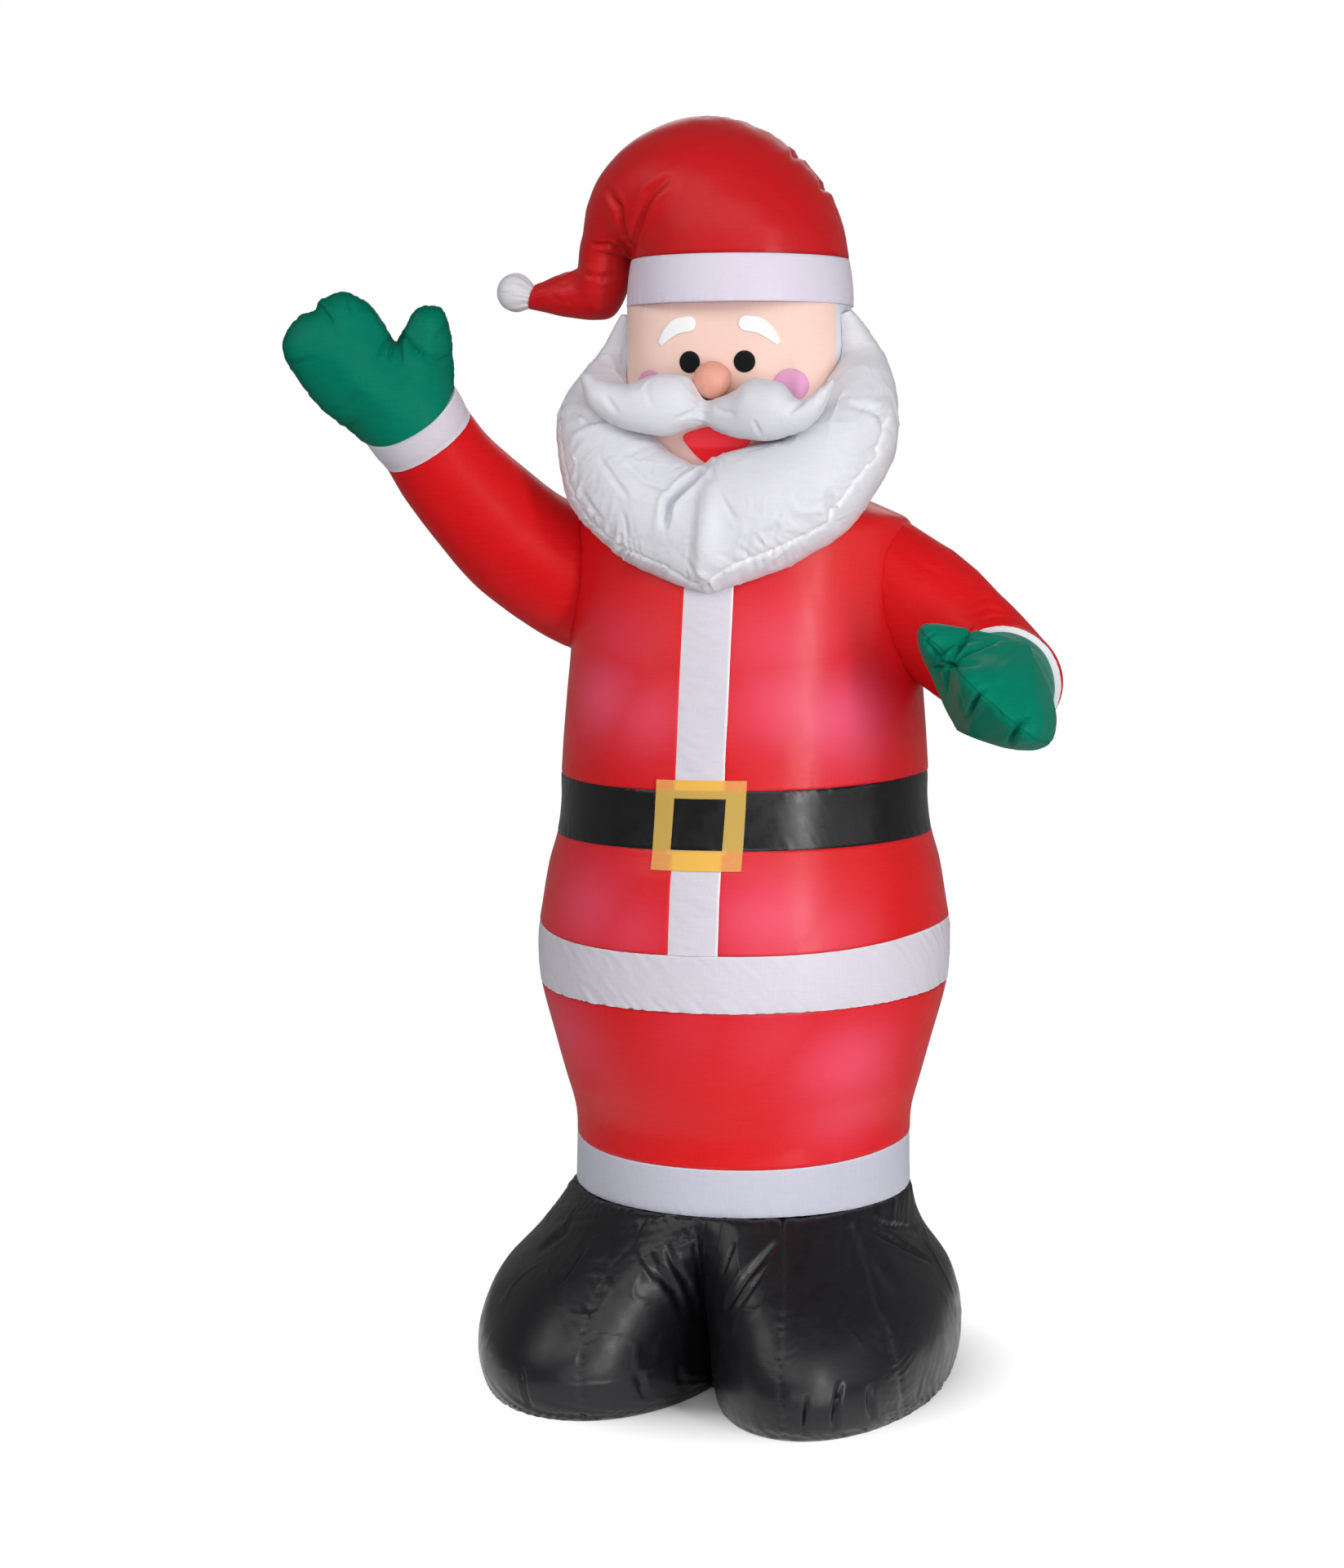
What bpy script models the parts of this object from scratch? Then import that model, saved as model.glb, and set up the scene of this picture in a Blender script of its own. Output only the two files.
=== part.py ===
"""Inflatable garden santa, standing, one arm raised and the other bent forward.

The figure is drawn in shares of its own height and faces -Y, with +X on the
side of the bent arm. The origin is on the sole, under the middle of the body.
"""
import bpy
import bmesh
from math import asin, cos, pi, radians, sin, sqrt
from mathutils import Vector

# Driving dimensions, in metres
HEIGHT = 1.80
GAP = 0.0003

# The figure is 995 units tall; every other size below is in these units
UNIT = HEIGHT / 995.0

# Heights of the sewn rings
CUFF_LOW = 150.0
CUFF_TOP = 187.0
HEM_LOW = 313.0
HEM_TOP = 357.0
BELT_LOW = 435.0
BELT_TOP = 479.5
NECK = 706.0
BAND_LOW = 847.0
BAND_TOP = 883.0
RING_TILT = 0.012

# Body: height, half width, half depth, centre towards the back
BODY = (
    (150, 134.7, 134.7, 0), (187, 134.4, 134.4, 0), (211, 135.6, 135.6, 0),
    (244, 144.4, 144.2, 0), (277, 153.3, 153.0, 0), (311, 162.2, 161.0, 0),
    (331, 165.0, 163.5, 0), (355, 165.2, 163.0, 0), (377, 162.2, 160.0, 0),
    (411, 156.4, 155.0, 0), (435, 149.5, 148.5, 0), (460, 146.4, 144.5, 0),
    (483, 146.4, 142.0, 0), (509, 145.0, 138.5, 0), (546, 142.5, 132.5, 0),
    (575, 140.0, 127.5, 0), (619, 138.0, 119.5, 0), (660, 136.5, 112.0, -1),
    (682, 131.0, 104.0, -5), (692, 112.0, 94.0, -11), (700, 94.0, 86.0, -15),
    (706, 82.0, 82.0, -16.7),
)
BODY_SIDES = 36

# Head drum: centre, half width, half depths in front and behind
HEAD_Y = -16.7
HEAD_HALF = 87.0
HEAD_FRONT = 70.0
HEAD_BACK = 84.0
FACE_SEAM = -46.0

# Front strip and buckle
STRIP_HALF = 19.4
STRIP_DEPTH = 5.0
STRIP_SUNK = 0.7
STRIP_X = 1.7
BUCKLE_HALF = 35.2
BUCKLE_HOLE = 20.2
BUCKLE_Z = (420.2, 487.6)
BUCKLE_HOLE_Z = (433.4, 473.9)
PATCH = 0.7


def catmull(table, x):
    """Smooth interpolation of a table of rows, each row led by its place x."""
    if x <= table[0][0]:
        return list(table[0][1:])
    if x >= table[-1][0]:
        return list(table[-1][1:])
    i = 0
    while table[i + 1][0] < x:
        i += 1
    a = table[max(i - 1, 0)]
    b = table[i]
    c = table[i + 1]
    d = table[min(i + 2, len(table) - 1)]
    span = c[0] - b[0]
    t = (x - b[0]) / span
    row = []
    for k in range(1, len(b)):
        m0 = (c[k] - a[k]) / (c[0] - a[0]) * span
        m1 = (d[k] - b[k]) / (d[0] - b[0]) * span
        h = c[k] - b[k]
        row.append(b[k] + t * (m0 + t * (3 * h - 2 * m0 - m1 + t * (m0 + m1 - 2 * h))))
    return row


def tilt(x, z):
    """The waist rings lean a little; the lean fades out at the feet and the neck."""
    share = max(0.0, 1.0 - ((z - 400.0) / 240.0) ** 2)
    return z + RING_TILT * share * x


def body_point(angle, z, out=0.0):
    half, deep, cy = catmull(BODY, z)
    x = (half + out) * cos(angle)
    y = cy + (deep + out) * sin(angle)
    return Vector((x, y, tilt(x, z)))


def body_front(x, z, out=0.0):
    """Point on the front of the body at a given x."""
    half, deep, cy = catmull(BODY, z)
    y = cy - (deep + out) * sqrt(max(0.0, 1.0 - (x / (half + out)) ** 2))
    return Vector((x, y, tilt(x, z)))


def head_radius(z):
    """The drum narrows to the neck below the jaw."""
    share = max(0.0, min(1.0, (z - NECK) / 60.0))
    return 0.90 + 0.10 * sin(share * pi / 2)


def head_point(angle, z, out=0.0):
    s = head_radius(z)
    c = cos(angle)
    d = sin(angle)
    power = 2.0 / 2.6 if d < 0 else 1.0
    deep = HEAD_FRONT if d < 0 else HEAD_BACK
    x = (HEAD_HALF * s + out) * (abs(c) ** power) * (1 if c > 0 else -1)
    y = HEAD_Y + (deep * s + out) * (abs(d) ** power) * (1 if d > 0 else -1)
    return Vector((x, y, z))


def head_front(x, z, out=0.0):
    s = head_radius(z)
    share = min(1.0, abs(x) / (HEAD_HALF * s + out))
    return HEAD_Y - (HEAD_FRONT * s + out) * (1.0 - share ** 2.6) ** (1.0 / 2.6)


def material(name, colour, roughness):
    mat = bpy.data.materials.get(name)
    if mat is None:
        mat = bpy.data.materials.new(name)
        mat.use_nodes = True
        shader = mat.node_tree.nodes["Principled BSDF"]
        shader.inputs["Base Color"].default_value = (*colour, 1.0)
        shader.inputs["Roughness"].default_value = roughness
        shader.inputs["Metallic"].default_value = 0.0
    return mat


RED = material("red_cloth", (0.60, 0.015, 0.025), 0.45)
WHITE = material("white_cloth", (0.78, 0.76, 0.80), 0.55)
BLACK = material("black_cloth", (0.012, 0.012, 0.014), 0.40)
GREEN = material("green_cloth", (0.0, 0.17, 0.10), 0.45)
SKIN = material("skin_cloth", (0.93, 0.66, 0.52), 0.55)
GOLD = material("gold_cloth", (0.80, 0.48, 0.10), 0.50)
NOSE = material("nose_cloth", (0.80, 0.36, 0.20), 0.50)
MOUTH = material("mouth_cloth", (0.66, 0.02, 0.03), 0.50)
CHEEK = material("cheek_cloth", (0.68, 0.32, 0.60), 0.55)
WADDING = material("beard_cloth", (0.86, 0.87, 0.89), 0.50)


def place(name, mesh_data, mat, smooth_angle=40.0):
    """Put a bmesh, drawn in units, into the scene as one closed object."""
    bmesh.ops.recalc_face_normals(mesh_data, faces=mesh_data.faces)
    bmesh.ops.scale(mesh_data, vec=(UNIT, UNIT, UNIT), verts=mesh_data.verts)
    mesh = bpy.data.meshes.new(name)
    mesh_data.to_mesh(mesh)
    mesh_data.free()
    mesh.shade_smooth()
    mesh.set_sharp_from_angle(angle=radians(smooth_angle))
    obj = bpy.data.objects.new(name, mesh)
    if mat is not None:
        mesh.materials.append(mat)
    bpy.context.scene.collection.objects.link(obj)
    return obj


def loft(rings, tip_first=None, tip_last=None):
    """Skin a list of rings with equal point counts; ends are flat caps or tips."""
    bm = bmesh.new()
    rows = [[bm.verts.new(p) for p in ring] for ring in rings]
    count = len(rows[0])
    for low, high in zip(rows, rows[1:]):
        for i in range(count):
            j = (i + 1) % count
            bm.faces.new((low[i], low[j], high[j], high[i]))
    for row, tip in ((rows[0], tip_first), (rows[-1], tip_last)):
        if tip is None:
            bm.faces.new(row)
        else:
            end = bm.verts.new(tip)
            for i in range(count):
                bm.faces.new((row[i], row[(i + 1) % count], end))
    return bm


def guide(obj):
    obj.hide_render = True
    obj.display_type = "WIRE"
    return obj


def cut(obj, *cutters):
    for cutter in cutters:
        mod = obj.modifiers.new("cut_" + cutter.name, "BOOLEAN")
        mod.operation = "DIFFERENCE"
        mod.solver = "EXACT"
        mod.object = cutter


for old in list(bpy.data.objects):
    bpy.data.objects.remove(old, do_unlink=True)


# Body slices, each one piece of cloth between two ring seams
EDGE = GAP / UNIT / 2


def body_slice(name, low, high, levels, mat, out=0.0, bottom_gap=EDGE, top_gap=EDGE):
    rings = []
    for k in range(levels):
        z = low + bottom_gap + (high - low - bottom_gap - top_gap) * k / (levels - 1)
        rings.append([body_point(2 * pi * i / BODY_SIDES, z, out) for i in range(BODY_SIDES)])
    return place(name, loft(rings), mat)


def front_strip(name, levels, mat, wide=0.0, deep=0.0, out=0.0):
    """Slab that follows the front of the body, for the white strip and its seat."""
    columns = 5
    rings = []
    for z in levels:
        xs = [STRIP_X + (STRIP_HALF + wide) * (2.0 * i / (columns - 1) - 1) for i in range(columns)]
        front = [body_front(x, z, out - STRIP_SUNK) for x in xs]
        back = [body_front(x, z, -STRIP_DEPTH - deep) for x in reversed(xs)]
        rings.append(front + back)
    return place(name, loft(rings), mat)


body_slice("trouser_cuff", CUFF_LOW, CUFF_TOP, 3, WHITE)
body_slice("trousers", CUFF_TOP, HEM_LOW, 8, RED)
body_slice("coat_hem", HEM_LOW, HEM_TOP, 3, WHITE)
skirt = body_slice("coat_skirt", HEM_TOP, BELT_LOW, 5, RED)
body_slice("belt", BELT_LOW, BELT_TOP, 3, BLACK)

COAT_LEVELS = [495, 515, 546, 580, 619, 655, 676, 686, 693, 700]
rings = [[body_point(2 * pi * i / BODY_SIDES, z) for i in range(BODY_SIDES)]
         for z in [BELT_TOP + EDGE] + COAT_LEVELS + [NECK - EDGE]]
coat = place("coat_body", loft(rings), RED)
rings = [[body_point(2 * pi * i / BODY_SIDES, z, 2.5 * EDGE) for i in range(BODY_SIDES)]
         for z in [BELT_TOP] + COAT_LEVELS + [NECK]]
rings = [[p + Vector((0, 0, 3 * EDGE if p.z > 670 else 0)) for p in ring] for ring in rings]
body_guide = guide(place("body_guide", loft(rings), None))

STRIP_TOP = 655.0
levels = [BELT_TOP + EDGE, 500, 525, 550, 576, 602, 628, STRIP_TOP]
front_strip("placket_upper", levels, WHITE)
seat = guide(front_strip("placket_upper_seat", [BELT_TOP - 20] + levels[:-1] + [STRIP_TOP + 2 * EDGE],
                         None, 2 * EDGE, 2 * EDGE, 12.0))
cut(coat, seat)
levels = [HEM_TOP + EDGE, 376, 396, 416, BELT_LOW - EDGE]
front_strip("placket_lower", levels, WHITE)
seat = guide(front_strip("placket_lower_seat", [HEM_TOP - 20] + levels + [BELT_LOW + 20], None,
                         2 * EDGE, 2 * EDGE, 12.0))
cut(skirt, seat)


def buckle_frame():
    """Square frame of folded cloth laid on the belt, open in the middle."""
    steps = 6
    low, high = BUCKLE_Z
    hole_low, hole_high = BUCKLE_HOLE_Z
    outer = []
    inner = []
    for side in range(4):
        for k in range(steps):
            t = k / steps
            u, v = ((t, 0.0), (1.0, t), (1.0 - t, 1.0), (0.0, 1.0 - t))[side]
            lean = 1.5 * (v - 0.5)
            outer.append((STRIP_X + lean + BUCKLE_HALF * (2 * u - 1), low + (high - low) * v))
            inner.append((STRIP_X + lean + BUCKLE_HOLE * (2 * u - 1),
                          hole_low + (hole_high - hole_low) * v))
    bm = bmesh.new()
    loops = []
    for loop, out in ((outer, 5 * EDGE), (outer, 5 * EDGE + PATCH * 1.3),
                      (inner, 5 * EDGE + PATCH * 1.3), (inner, 5 * EDGE)):
        loops.append([bm.verts.new(body_front(x, z, out)) for x, z in loop])
    count = 4 * steps
    for k in range(4):
        a = loops[k]
        b = loops[(k + 1) % 4]
        for i in range(count):
            j = (i + 1) % count
            bm.faces.new((a[i], a[j], b[j], b[i]))
    return place("buckle", bm, GOLD)


buckle_frame()


# Boots: two lobes blown together, with a cleft in front and a shallow one behind
# height, half distance between the lobes, half width and half depth of a lobe, centre y
BOOTS = (
    (0, 91.7, 93.3, 158.3, -31.7), (3.3, 94.2, 96.1, 166.7, -31.7), (13.9, 95.8, 98.9, 175, -31.7),
    (33.3, 96.1, 102.2, 180.6, -30.6), (55.6, 93.3, 103.3, 177.8, -26.7), (83.3, 83.3, 102.8, 166.7, -19.4),
    (111.1, 62.8, 100, 151.1, -11.1), (133.3, 36.7, 110, 138.9, -4.4), (145.6, 12.2, 126.7, 135.3, -1.1),
    (150, 0, 134.7, 134.7, 0),
)
BOOT_SIDES = 40


# The boot under the raised arm is blown a little fuller than the other
BOOT_NARROW = 0.085


def lobe_reach(angle, offset, wide, deep):
    """Distance from the middle to the outline of two joined ovals."""
    best = 0.0
    for side in (-1, 1):
        a = cos(angle) ** 2 / wide ** 2 + sin(angle) ** 2 / deep ** 2
        b = -2 * side * offset * cos(angle) / wide ** 2
        c = (offset / wide) ** 2 - 1
        d = b * b - 4 * a * c
        if d > 0:
            best = max(best, (-b + sqrt(d)) / (2 * a))
    return best


def boot_point(angle, z, offset, wide, deep, cy):
    """Point on the outline; the front is a little longer than the back."""
    front = sin(angle) < 0
    reach = max(lobe_reach(angle, offset, wide, deep), 52.0 if front else 100.0)
    x = reach * cos(angle)
    if x > 0:
        x *= 1.0 - BOOT_NARROW * min(1.0, (CUFF_LOW - z) / 33.0)
    return Vector((x, cy + (1.035 if front else 0.90) * reach * sin(angle), z))


rings = [[boot_point(2 * pi * i / BOOT_SIDES - pi / 2, *row) for i in range(BOOT_SIDES)]
         for row in BOOTS]
rings[-1] = [Vector((p.x, p.y, CUFF_LOW - EDGE)) for p in rings[-1]]
place("boots", loft(rings), BLACK)


# Arms: each is a list of stations, and a station is a centre, a direction and a radius
RAISED_PATH = ((-100, 12, 618, 52), (-131, -7, 631, 53.5), (-172, -37, 660, 49.5),
               (-198, -62, 691, 45.5), (-217.6, -82, 718.5, 41.5), (-230.5, -96.5, 743, 39.3),
               (-235.5, -104, 753.5, 40.5), (-240, -111, 763.6, 41))
RAISED_SEAM = 5
RAISED_TIP = (-292, -157, 857)
# The bent arm: shoulder, elbow corner and end of the cuff, and the bend's radius
SHOULDER = (136, -6, 620)
ELBOW = (214, 4, 556)
BENT_END = (221.5, -89, 560.5)
ELBOW_BEND = 48.0
ELBOW_RADIUS = 42.5
BENT_SEAM = 70.0
BENT_TIP = (221.5, -205, 568)


def raised_stations():
    table = [(k, *p) for k, p in enumerate(RAISED_PATH)]
    last = len(RAISED_PATH) - 1
    places = [0, 0.8, 1.5, 2.2, 2.9, 3.6, 4.3, RAISED_SEAM, 6, last]
    stations = []
    for t in places:
        ahead = Vector(catmull(table, min(last, t + 0.05))[:3])
        behind = Vector(catmull(table, max(0, t - 0.05))[:3])
        x, y, z, r = catmull(table, t)
        stations.append((Vector((x, y, z)), (ahead - behind).normalized(), r))
    return stations


def bent_stations():
    """Straight upper arm, a round bend at the elbow, straight forearm."""
    shoulder = Vector(SHOULDER)
    corner = Vector(ELBOW)
    end = Vector(BENT_END)
    upper = (corner - shoulder).normalized()
    fore = (end - corner).normalized()
    turn = upper.angle(fore)
    tangent = ELBOW_BEND * sin(turn / 2) / cos(turn / 2)
    hub = corner + (fore - upper).normalized() * (ELBOW_BEND / cos(turn / 2))
    stations = [(shoulder - upper * 48, upper, 43.0), (shoulder, upper, 49.5),
                (corner - upper * (tangent + 26), upper, 49.5)]
    start = corner - upper * tangent
    steps = 6
    for k in range(steps + 1):
        a = turn * k / steps
        spoke = (start - hub) * cos(a) + upper * ELBOW_BEND * sin(a)
        along = upper * cos(a) - (start - hub).normalized() * sin(a)
        r = 46.5 + (ELBOW_RADIUS - 46.5) * min(1.0, 1.5 * k / steps)
        stations.append((hub + spoke, along.normalized(), r))
    seam = corner + fore * BENT_SEAM
    stations.append((seam, fore, 39.5))
    stations.append(((seam + end) / 2, fore, 40.6))
    stations.append((end, fore, 41.0))
    return stations


def arm_rings(stations, sides=20, out=0.0):
    rings = []
    for centre, along, r in stations:
        side = along.cross(Vector((0, -0.55, 0.83))).normalized()
        up = side.cross(along)
        rings.append([centre + (r + out) * (cos(2 * pi * i / sides) * side
                                            + sin(2 * pi * i / sides) * up)
                      for i in range(sides)])
    return rings


def arm(side, stations, seam):
    """Sleeve and cuff; the sleeve's root is cut by the body."""
    joint, along, r = stations[seam]
    above = (joint - along * EDGE, along, r)
    below = (joint + along * EDGE, along, r)
    end, along, r = stations[-1]
    rings = arm_rings(stations[:seam] + [above])
    sleeve = place("sleeve_" + side, loft(rings), RED)
    cut(sleeve, body_guide)
    rings = arm_rings(stations[:3], 20, 3 * EDGE)
    sleeve_guide = guide(place("sleeve_" + side + "_guide", loft(rings), None))
    rings = arm_rings([below] + stations[seam + 1:-1] + [(end - along * EDGE, along, r)])
    place("cuff_" + side, loft(rings), WHITE)
    return sleeve_guide, (end, along)


# Mitten: three blown lobes, palm, wrist and thumb, on one flat seam.
# Each lobe: place along and across, half length, half width, half thickness
MITTEN_LOBES = ((66.5, -15.8, 48.1, 41.8, 33.0), (20.0, -1.0, 56.0, 45.5, 41.0),
                (40.5, 42.5, 28.5, 21.0, 21.0))
MITTEN_HEART = (30.0, 2.0)
CROTCH = 0.76


def mitten_reach(angle):
    best = 0.0
    for along, across, long, wide, _ in MITTEN_LOBES:
        px = MITTEN_HEART[0] - along
        py = MITTEN_HEART[1] - across
        dx = cos(angle)
        dy = sin(angle)
        a = (dx / long) ** 2 + (dy / wide) ** 2
        b = 2 * (px * dx / long ** 2 + py * dy / wide ** 2)
        c = (px / long) ** 2 + (py / wide) ** 2 - 1
        d = b * b - 4 * a * c
        if d > 0:
            best = max(best, (-b + sqrt(d)) / (2 * a))
    return best


def mitten_thick(along, across):
    best = 0.0
    for a, c, long, wide, thick in MITTEN_LOBES:
        rest = 1 - ((along - a) / long) ** 2 - ((across - c) / wide) ** 2
        if rest > 0:
            best = max(best, thick * sqrt(rest))
    return best


def mitten(name, mouth, tip, across_hint):
    root, mouth_way = mouth
    along = (Vector(tip) - root).normalized()
    across = Vector(across_hint)
    across = (across - across.dot(along) * along).normalized()
    thick = along.cross(across)
    sides = 32
    layers = 5
    bm = bmesh.new()

    def spot(ring, i, face):
        turn = 2 * pi * i / sides
        angle = CROTCH + turn - 0.45 * sin(turn)
        reach = mitten_reach(angle) * sin(ring / layers * pi / 2)
        a = MITTEN_HEART[0] + reach * cos(angle)
        c = MITTEN_HEART[1] + reach * sin(angle)
        t = 0.0 if ring == layers else face * mitten_thick(a, c)
        return bm.verts.new(root + along * a + across * c + thick * t)

    rim = [spot(layers, i, 0) for i in range(sides)]
    for face in (-1, 1):
        rows = [[spot(ring, i, face) for i in range(sides)] for ring in range(1, layers)]
        rows.append(rim)
        heart = spot(0, 0, face)
        for i in range(sides):
            j = (i + 1) % sides
            bm.faces.new((heart, rows[0][i], rows[0][j]))
            for low, high in zip(rows, rows[1:]):
                bm.faces.new((low[i], high[i], high[j], low[j]))
    cut_place = root + mouth_way * EDGE
    result = bmesh.ops.bisect_plane(bm, geom=bm.verts[:] + bm.edges[:] + bm.faces[:],
                                    plane_co=cut_place, plane_no=-mouth_way, clear_outer=True)
    rim_edges = [e for e in result["geom_cut"] if isinstance(e, bmesh.types.BMEdge)]
    bmesh.ops.contextual_create(bm, geom=rim_edges)
    return place(name, bm, GREEN)


raised_guide, raised_mouth = arm("raised", raised_stations(), -3)
bent_guide, bent_mouth = arm("bent", bent_stations(), -3)
mitten("mitten_raised", raised_mouth, RAISED_TIP, (0.80, 0.20, 0.57))
mitten("mitten_bent", bent_mouth, BENT_TIP, (-0.77, 0.0, 0.64))


# Head drum: the face panel in front of a seam, the white hair panel behind it
def head_ring(z, out, front):
    """Outline of the face panel or of the hair panel, closed along the seam."""
    count = 16
    seam = FACE_SEAM - EDGE if front else FACE_SEAM + EDGE
    s = head_radius(z)
    share = min(1.0, abs(seam - HEAD_Y) / (HEAD_FRONT * s + out))
    start = asin(share ** 1.3)
    points = []
    for i in range(count + 1):
        if front:
            angle = pi + start + (pi - 2 * start) * i / count
        else:
            angle = -start + (pi + 2 * start) * i / count
        points.append(head_point(angle, z, out))
    points[0].y = seam
    points[-1].y = seam
    return points


levels = [NECK + EDGE, 722, 742, 770, 800, 826, BAND_LOW - EDGE]
place("face", loft([head_ring(z, 0.0, True) for z in levels]), SKIN)
place("hair", loft([head_ring(z, 0.0, False) for z in levels]), WADDING)
rings = [head_ring(z, 2.2 * EDGE, True) + head_ring(z, 2.2 * EDGE, False)
         for z in [NECK - 12] + levels[1:] + [BAND_LOW + 12]]
head_guide = guide(place("head_guide", loft(rings), None))


def patch_on_face(name, outline, mat, thick=PATCH, rings_count=2):
    """Thin sewn-on patch that follows the face; outline gives x and z."""
    cx = sum(p[0] for p in outline) / len(outline)
    cz = sum(p[1] for p in outline) / len(outline)
    bm = bmesh.new()
    faces = []
    for out in (5 * EDGE, 5 * EDGE + thick):
        rows = []
        for k in range(1, rings_count + 1):
            s = k / rings_count
            row = []
            for x, z in outline:
                px = cx + s * (x - cx)
                pz = cz + s * (z - cz)
                row.append(bm.verts.new((px, head_front(px, pz) - out, pz)))
            rows.append(row)
        heart = bm.verts.new((cx, head_front(cx, cz) - out, cz))
        faces.append((heart, rows))
    count = len(outline)
    for heart, rows in faces:
        for i in range(count):
            j = (i + 1) % count
            bm.faces.new((heart, rows[0][i], rows[0][j]))
            for low, high in zip(rows, rows[1:]):
                bm.faces.new((low[i], high[i], high[j], low[j]))
    low = faces[0][1][-1]
    high = faces[1][1][-1]
    for i in range(count):
        j = (i + 1) % count
        bm.faces.new((low[i], high[i], high[j], low[j]))
    return place(name, bm, mat)


def circle(x, z, r, count=14):
    turns = [2 * pi * i / count for i in range(count)]
    return [(x + r * cos(a), z + r * sin(a)) for a in turns]


# Brow: share of its length, centre x and z, half thickness
BROW = ((0.0, 22.6, 831.0, 5.6), (0.4, 33.0, 829.5, 5.3), (0.75, 41.0, 823.5, 3.6),
        (1.0, 46.5, 816.8, 1.5))


def brow(side):
    """Tapering arch with a thick round inner end."""
    top = []
    low = []
    for k in range(7):
        t = k / 6
        x, z, half = catmull(BROW, t)
        x2, z2, _ = catmull(BROW, min(1.0, t + 0.03))
        x1, z1, _ = catmull(BROW, max(0.0, t - 0.03))
        run = sqrt((x2 - x1) ** 2 + (z2 - z1) ** 2)
        nx = -(z2 - z1) / run
        nz = (x2 - x1) / run
        top.append((side * (x + half * nx), z + half * nz))
        low.append((side * (x - half * nx), z - half * nz))
    x, z, half = BROW[0][1:]
    ends = (radians(225), radians(180), radians(135))
    inner = [(side * (x + half * cos(a)), z + half * sin(a)) for a in ends]
    return top + low[::-1] + inner


for name, side in (("left", -1), ("right", 1)):
    patch_on_face("eye_" + name, circle(side * 21.6, 802.3, 8.3), BLACK)
    patch_on_face("eyebrow_" + name, brow(side), WHITE)
    patch_on_face("cheek_" + name, circle(side * 55.6, 784.4, 12.5), CHEEK)
lips = [(-27, 746), (-14, 751.5), (0, 753.5), (14, 751.5), (27, 746), (20, 735.5), (11, 728.5),
        (0, 723.5), (-11, 728.5), (-20, 735.5)]
patch_on_face("mouth", lips, MOUTH)


# Hat: band, bent crown with its drooping tail, and the pompom
rings = []
for k in range(3):
    z = BAND_LOW + EDGE + (BAND_TOP - BAND_LOW - 2 * EDGE) * k / 2
    r = 88.6 - 3.6 * k / 2
    rings.append([Vector((r * cos(2 * pi * i / 36), HEAD_Y + r * sin(2 * pi * i / 36), z))
                  for i in range(36)])
place("hat_band", loft(rings), WHITE)

# The crown turns about a crease above the left edge of the band:
# turn in degrees, reach of the outer edge, half depth
CREASE = (-86.0, 884.0)
CROWN = ((0, 171.0, 84.8), (14, 165.5, 84), (30, 154, 81), (50, 137, 77), (66, 120, 71),
         (90, 90, 60), (120, 62, 46), (148, 46.5, 36), (172, 44.5, 30))
# The tail after the fold: outer edge, inner edge, half depth
TAIL = ((-131, 881, -93, 862, 27), (-132.5, 879.5, -104, 842, 24), (-137, 878, -120, 838.5, 20),
        (-148, 874.5, -143, 841, 17), (-160, 870, -159, 844.5, 13.5), (-168, 866.5, -173, 847.5, 10))
POMPOM = (-184.5, 861.0, 15.0)


def hat_ring(outer, inner, deep, sides=20):
    """Oval ring standing on the line from its inner to its outer edge."""
    middle = ((outer[0] + inner[0]) / 2, (outer[1] + inner[1]) / 2)
    half = ((outer[0] - inner[0]) / 2, (outer[1] - inner[1]) / 2)
    ring = []
    for i in range(sides):
        a = 2 * pi * i / sides
        ring.append(Vector((middle[0] + half[0] * cos(a), HEAD_Y + deep * sin(a),
                            middle[1] + half[1] * cos(a))))
    return ring


rings = []
for turn in (0, 9, 18, 29, 40, 52, 64, 77, 90, 108, 126, 138, 150, 161, 172):
    reach, deep = catmull(CROWN, turn)
    a = radians(turn)
    inner = 1.5 + 1.0 * turn / 172
    rings.append(hat_ring((CREASE[0] + reach * cos(a), CREASE[1] + reach * sin(a) + EDGE),
                          (CREASE[0] + inner * cos(a), CREASE[1] + inner * sin(a) + EDGE), deep))
for x1, z1, x2, z2, deep in TAIL:
    rings.append(hat_ring((x1, z1), (x2, z2), deep))
rings[0] = [Vector((p.x, p.y, BAND_TOP + EDGE)) for p in rings[0]]
place("hat_crown", loft(rings), RED)

# The pompom is gathered where it meets the tip of the tail
axis = Vector((POMPOM[0] - (TAIL[-1][0] + TAIL[-1][2]) / 2, 0,
               POMPOM[1] - (TAIL[-1][1] + TAIL[-1][3]) / 2)).normalized()
start = Vector(((TAIL[-1][0] + TAIL[-1][2]) / 2, HEAD_Y, (TAIL[-1][1] + TAIL[-1][3]) / 2))
start += axis * 2 * EDGE
across = Vector((TAIL[-1][0] - TAIL[-1][2], 0, TAIL[-1][1] - TAIL[-1][3])).normalized()
rings = []
for s, r in ((0, 8.8), (3, 10.2), (8, 13.4), (14, 15.2), (20, 14.6), (25, 11.6), (28.5, 6.8)):
    rings.append([start + axis * s + r * (cos(2 * pi * i / 16) * across
                                          + sin(2 * pi * i / 16) * Vector((0, 1, 0)))
                  for i in range(16)])
place("hat_pompom", loft(rings, None, start + axis * 30), WADDING)


# Beard: a blown crescent from temple to temple round the chin
# share of the way from the chin, centre x y z, half width outward, half depth
BEARD = ((0.0, 0, -111, 678, 49.5, 31), (0.2, 38, -101, 690, 46, 38), (0.4, 75, -84, 710, 43, 43),
         (0.6, 98, -58, 751, 36, 41), (0.8, 96.5, -20, 798, 22, 29), (1.0, 90, -18, 838, 9.5, 14))


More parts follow.
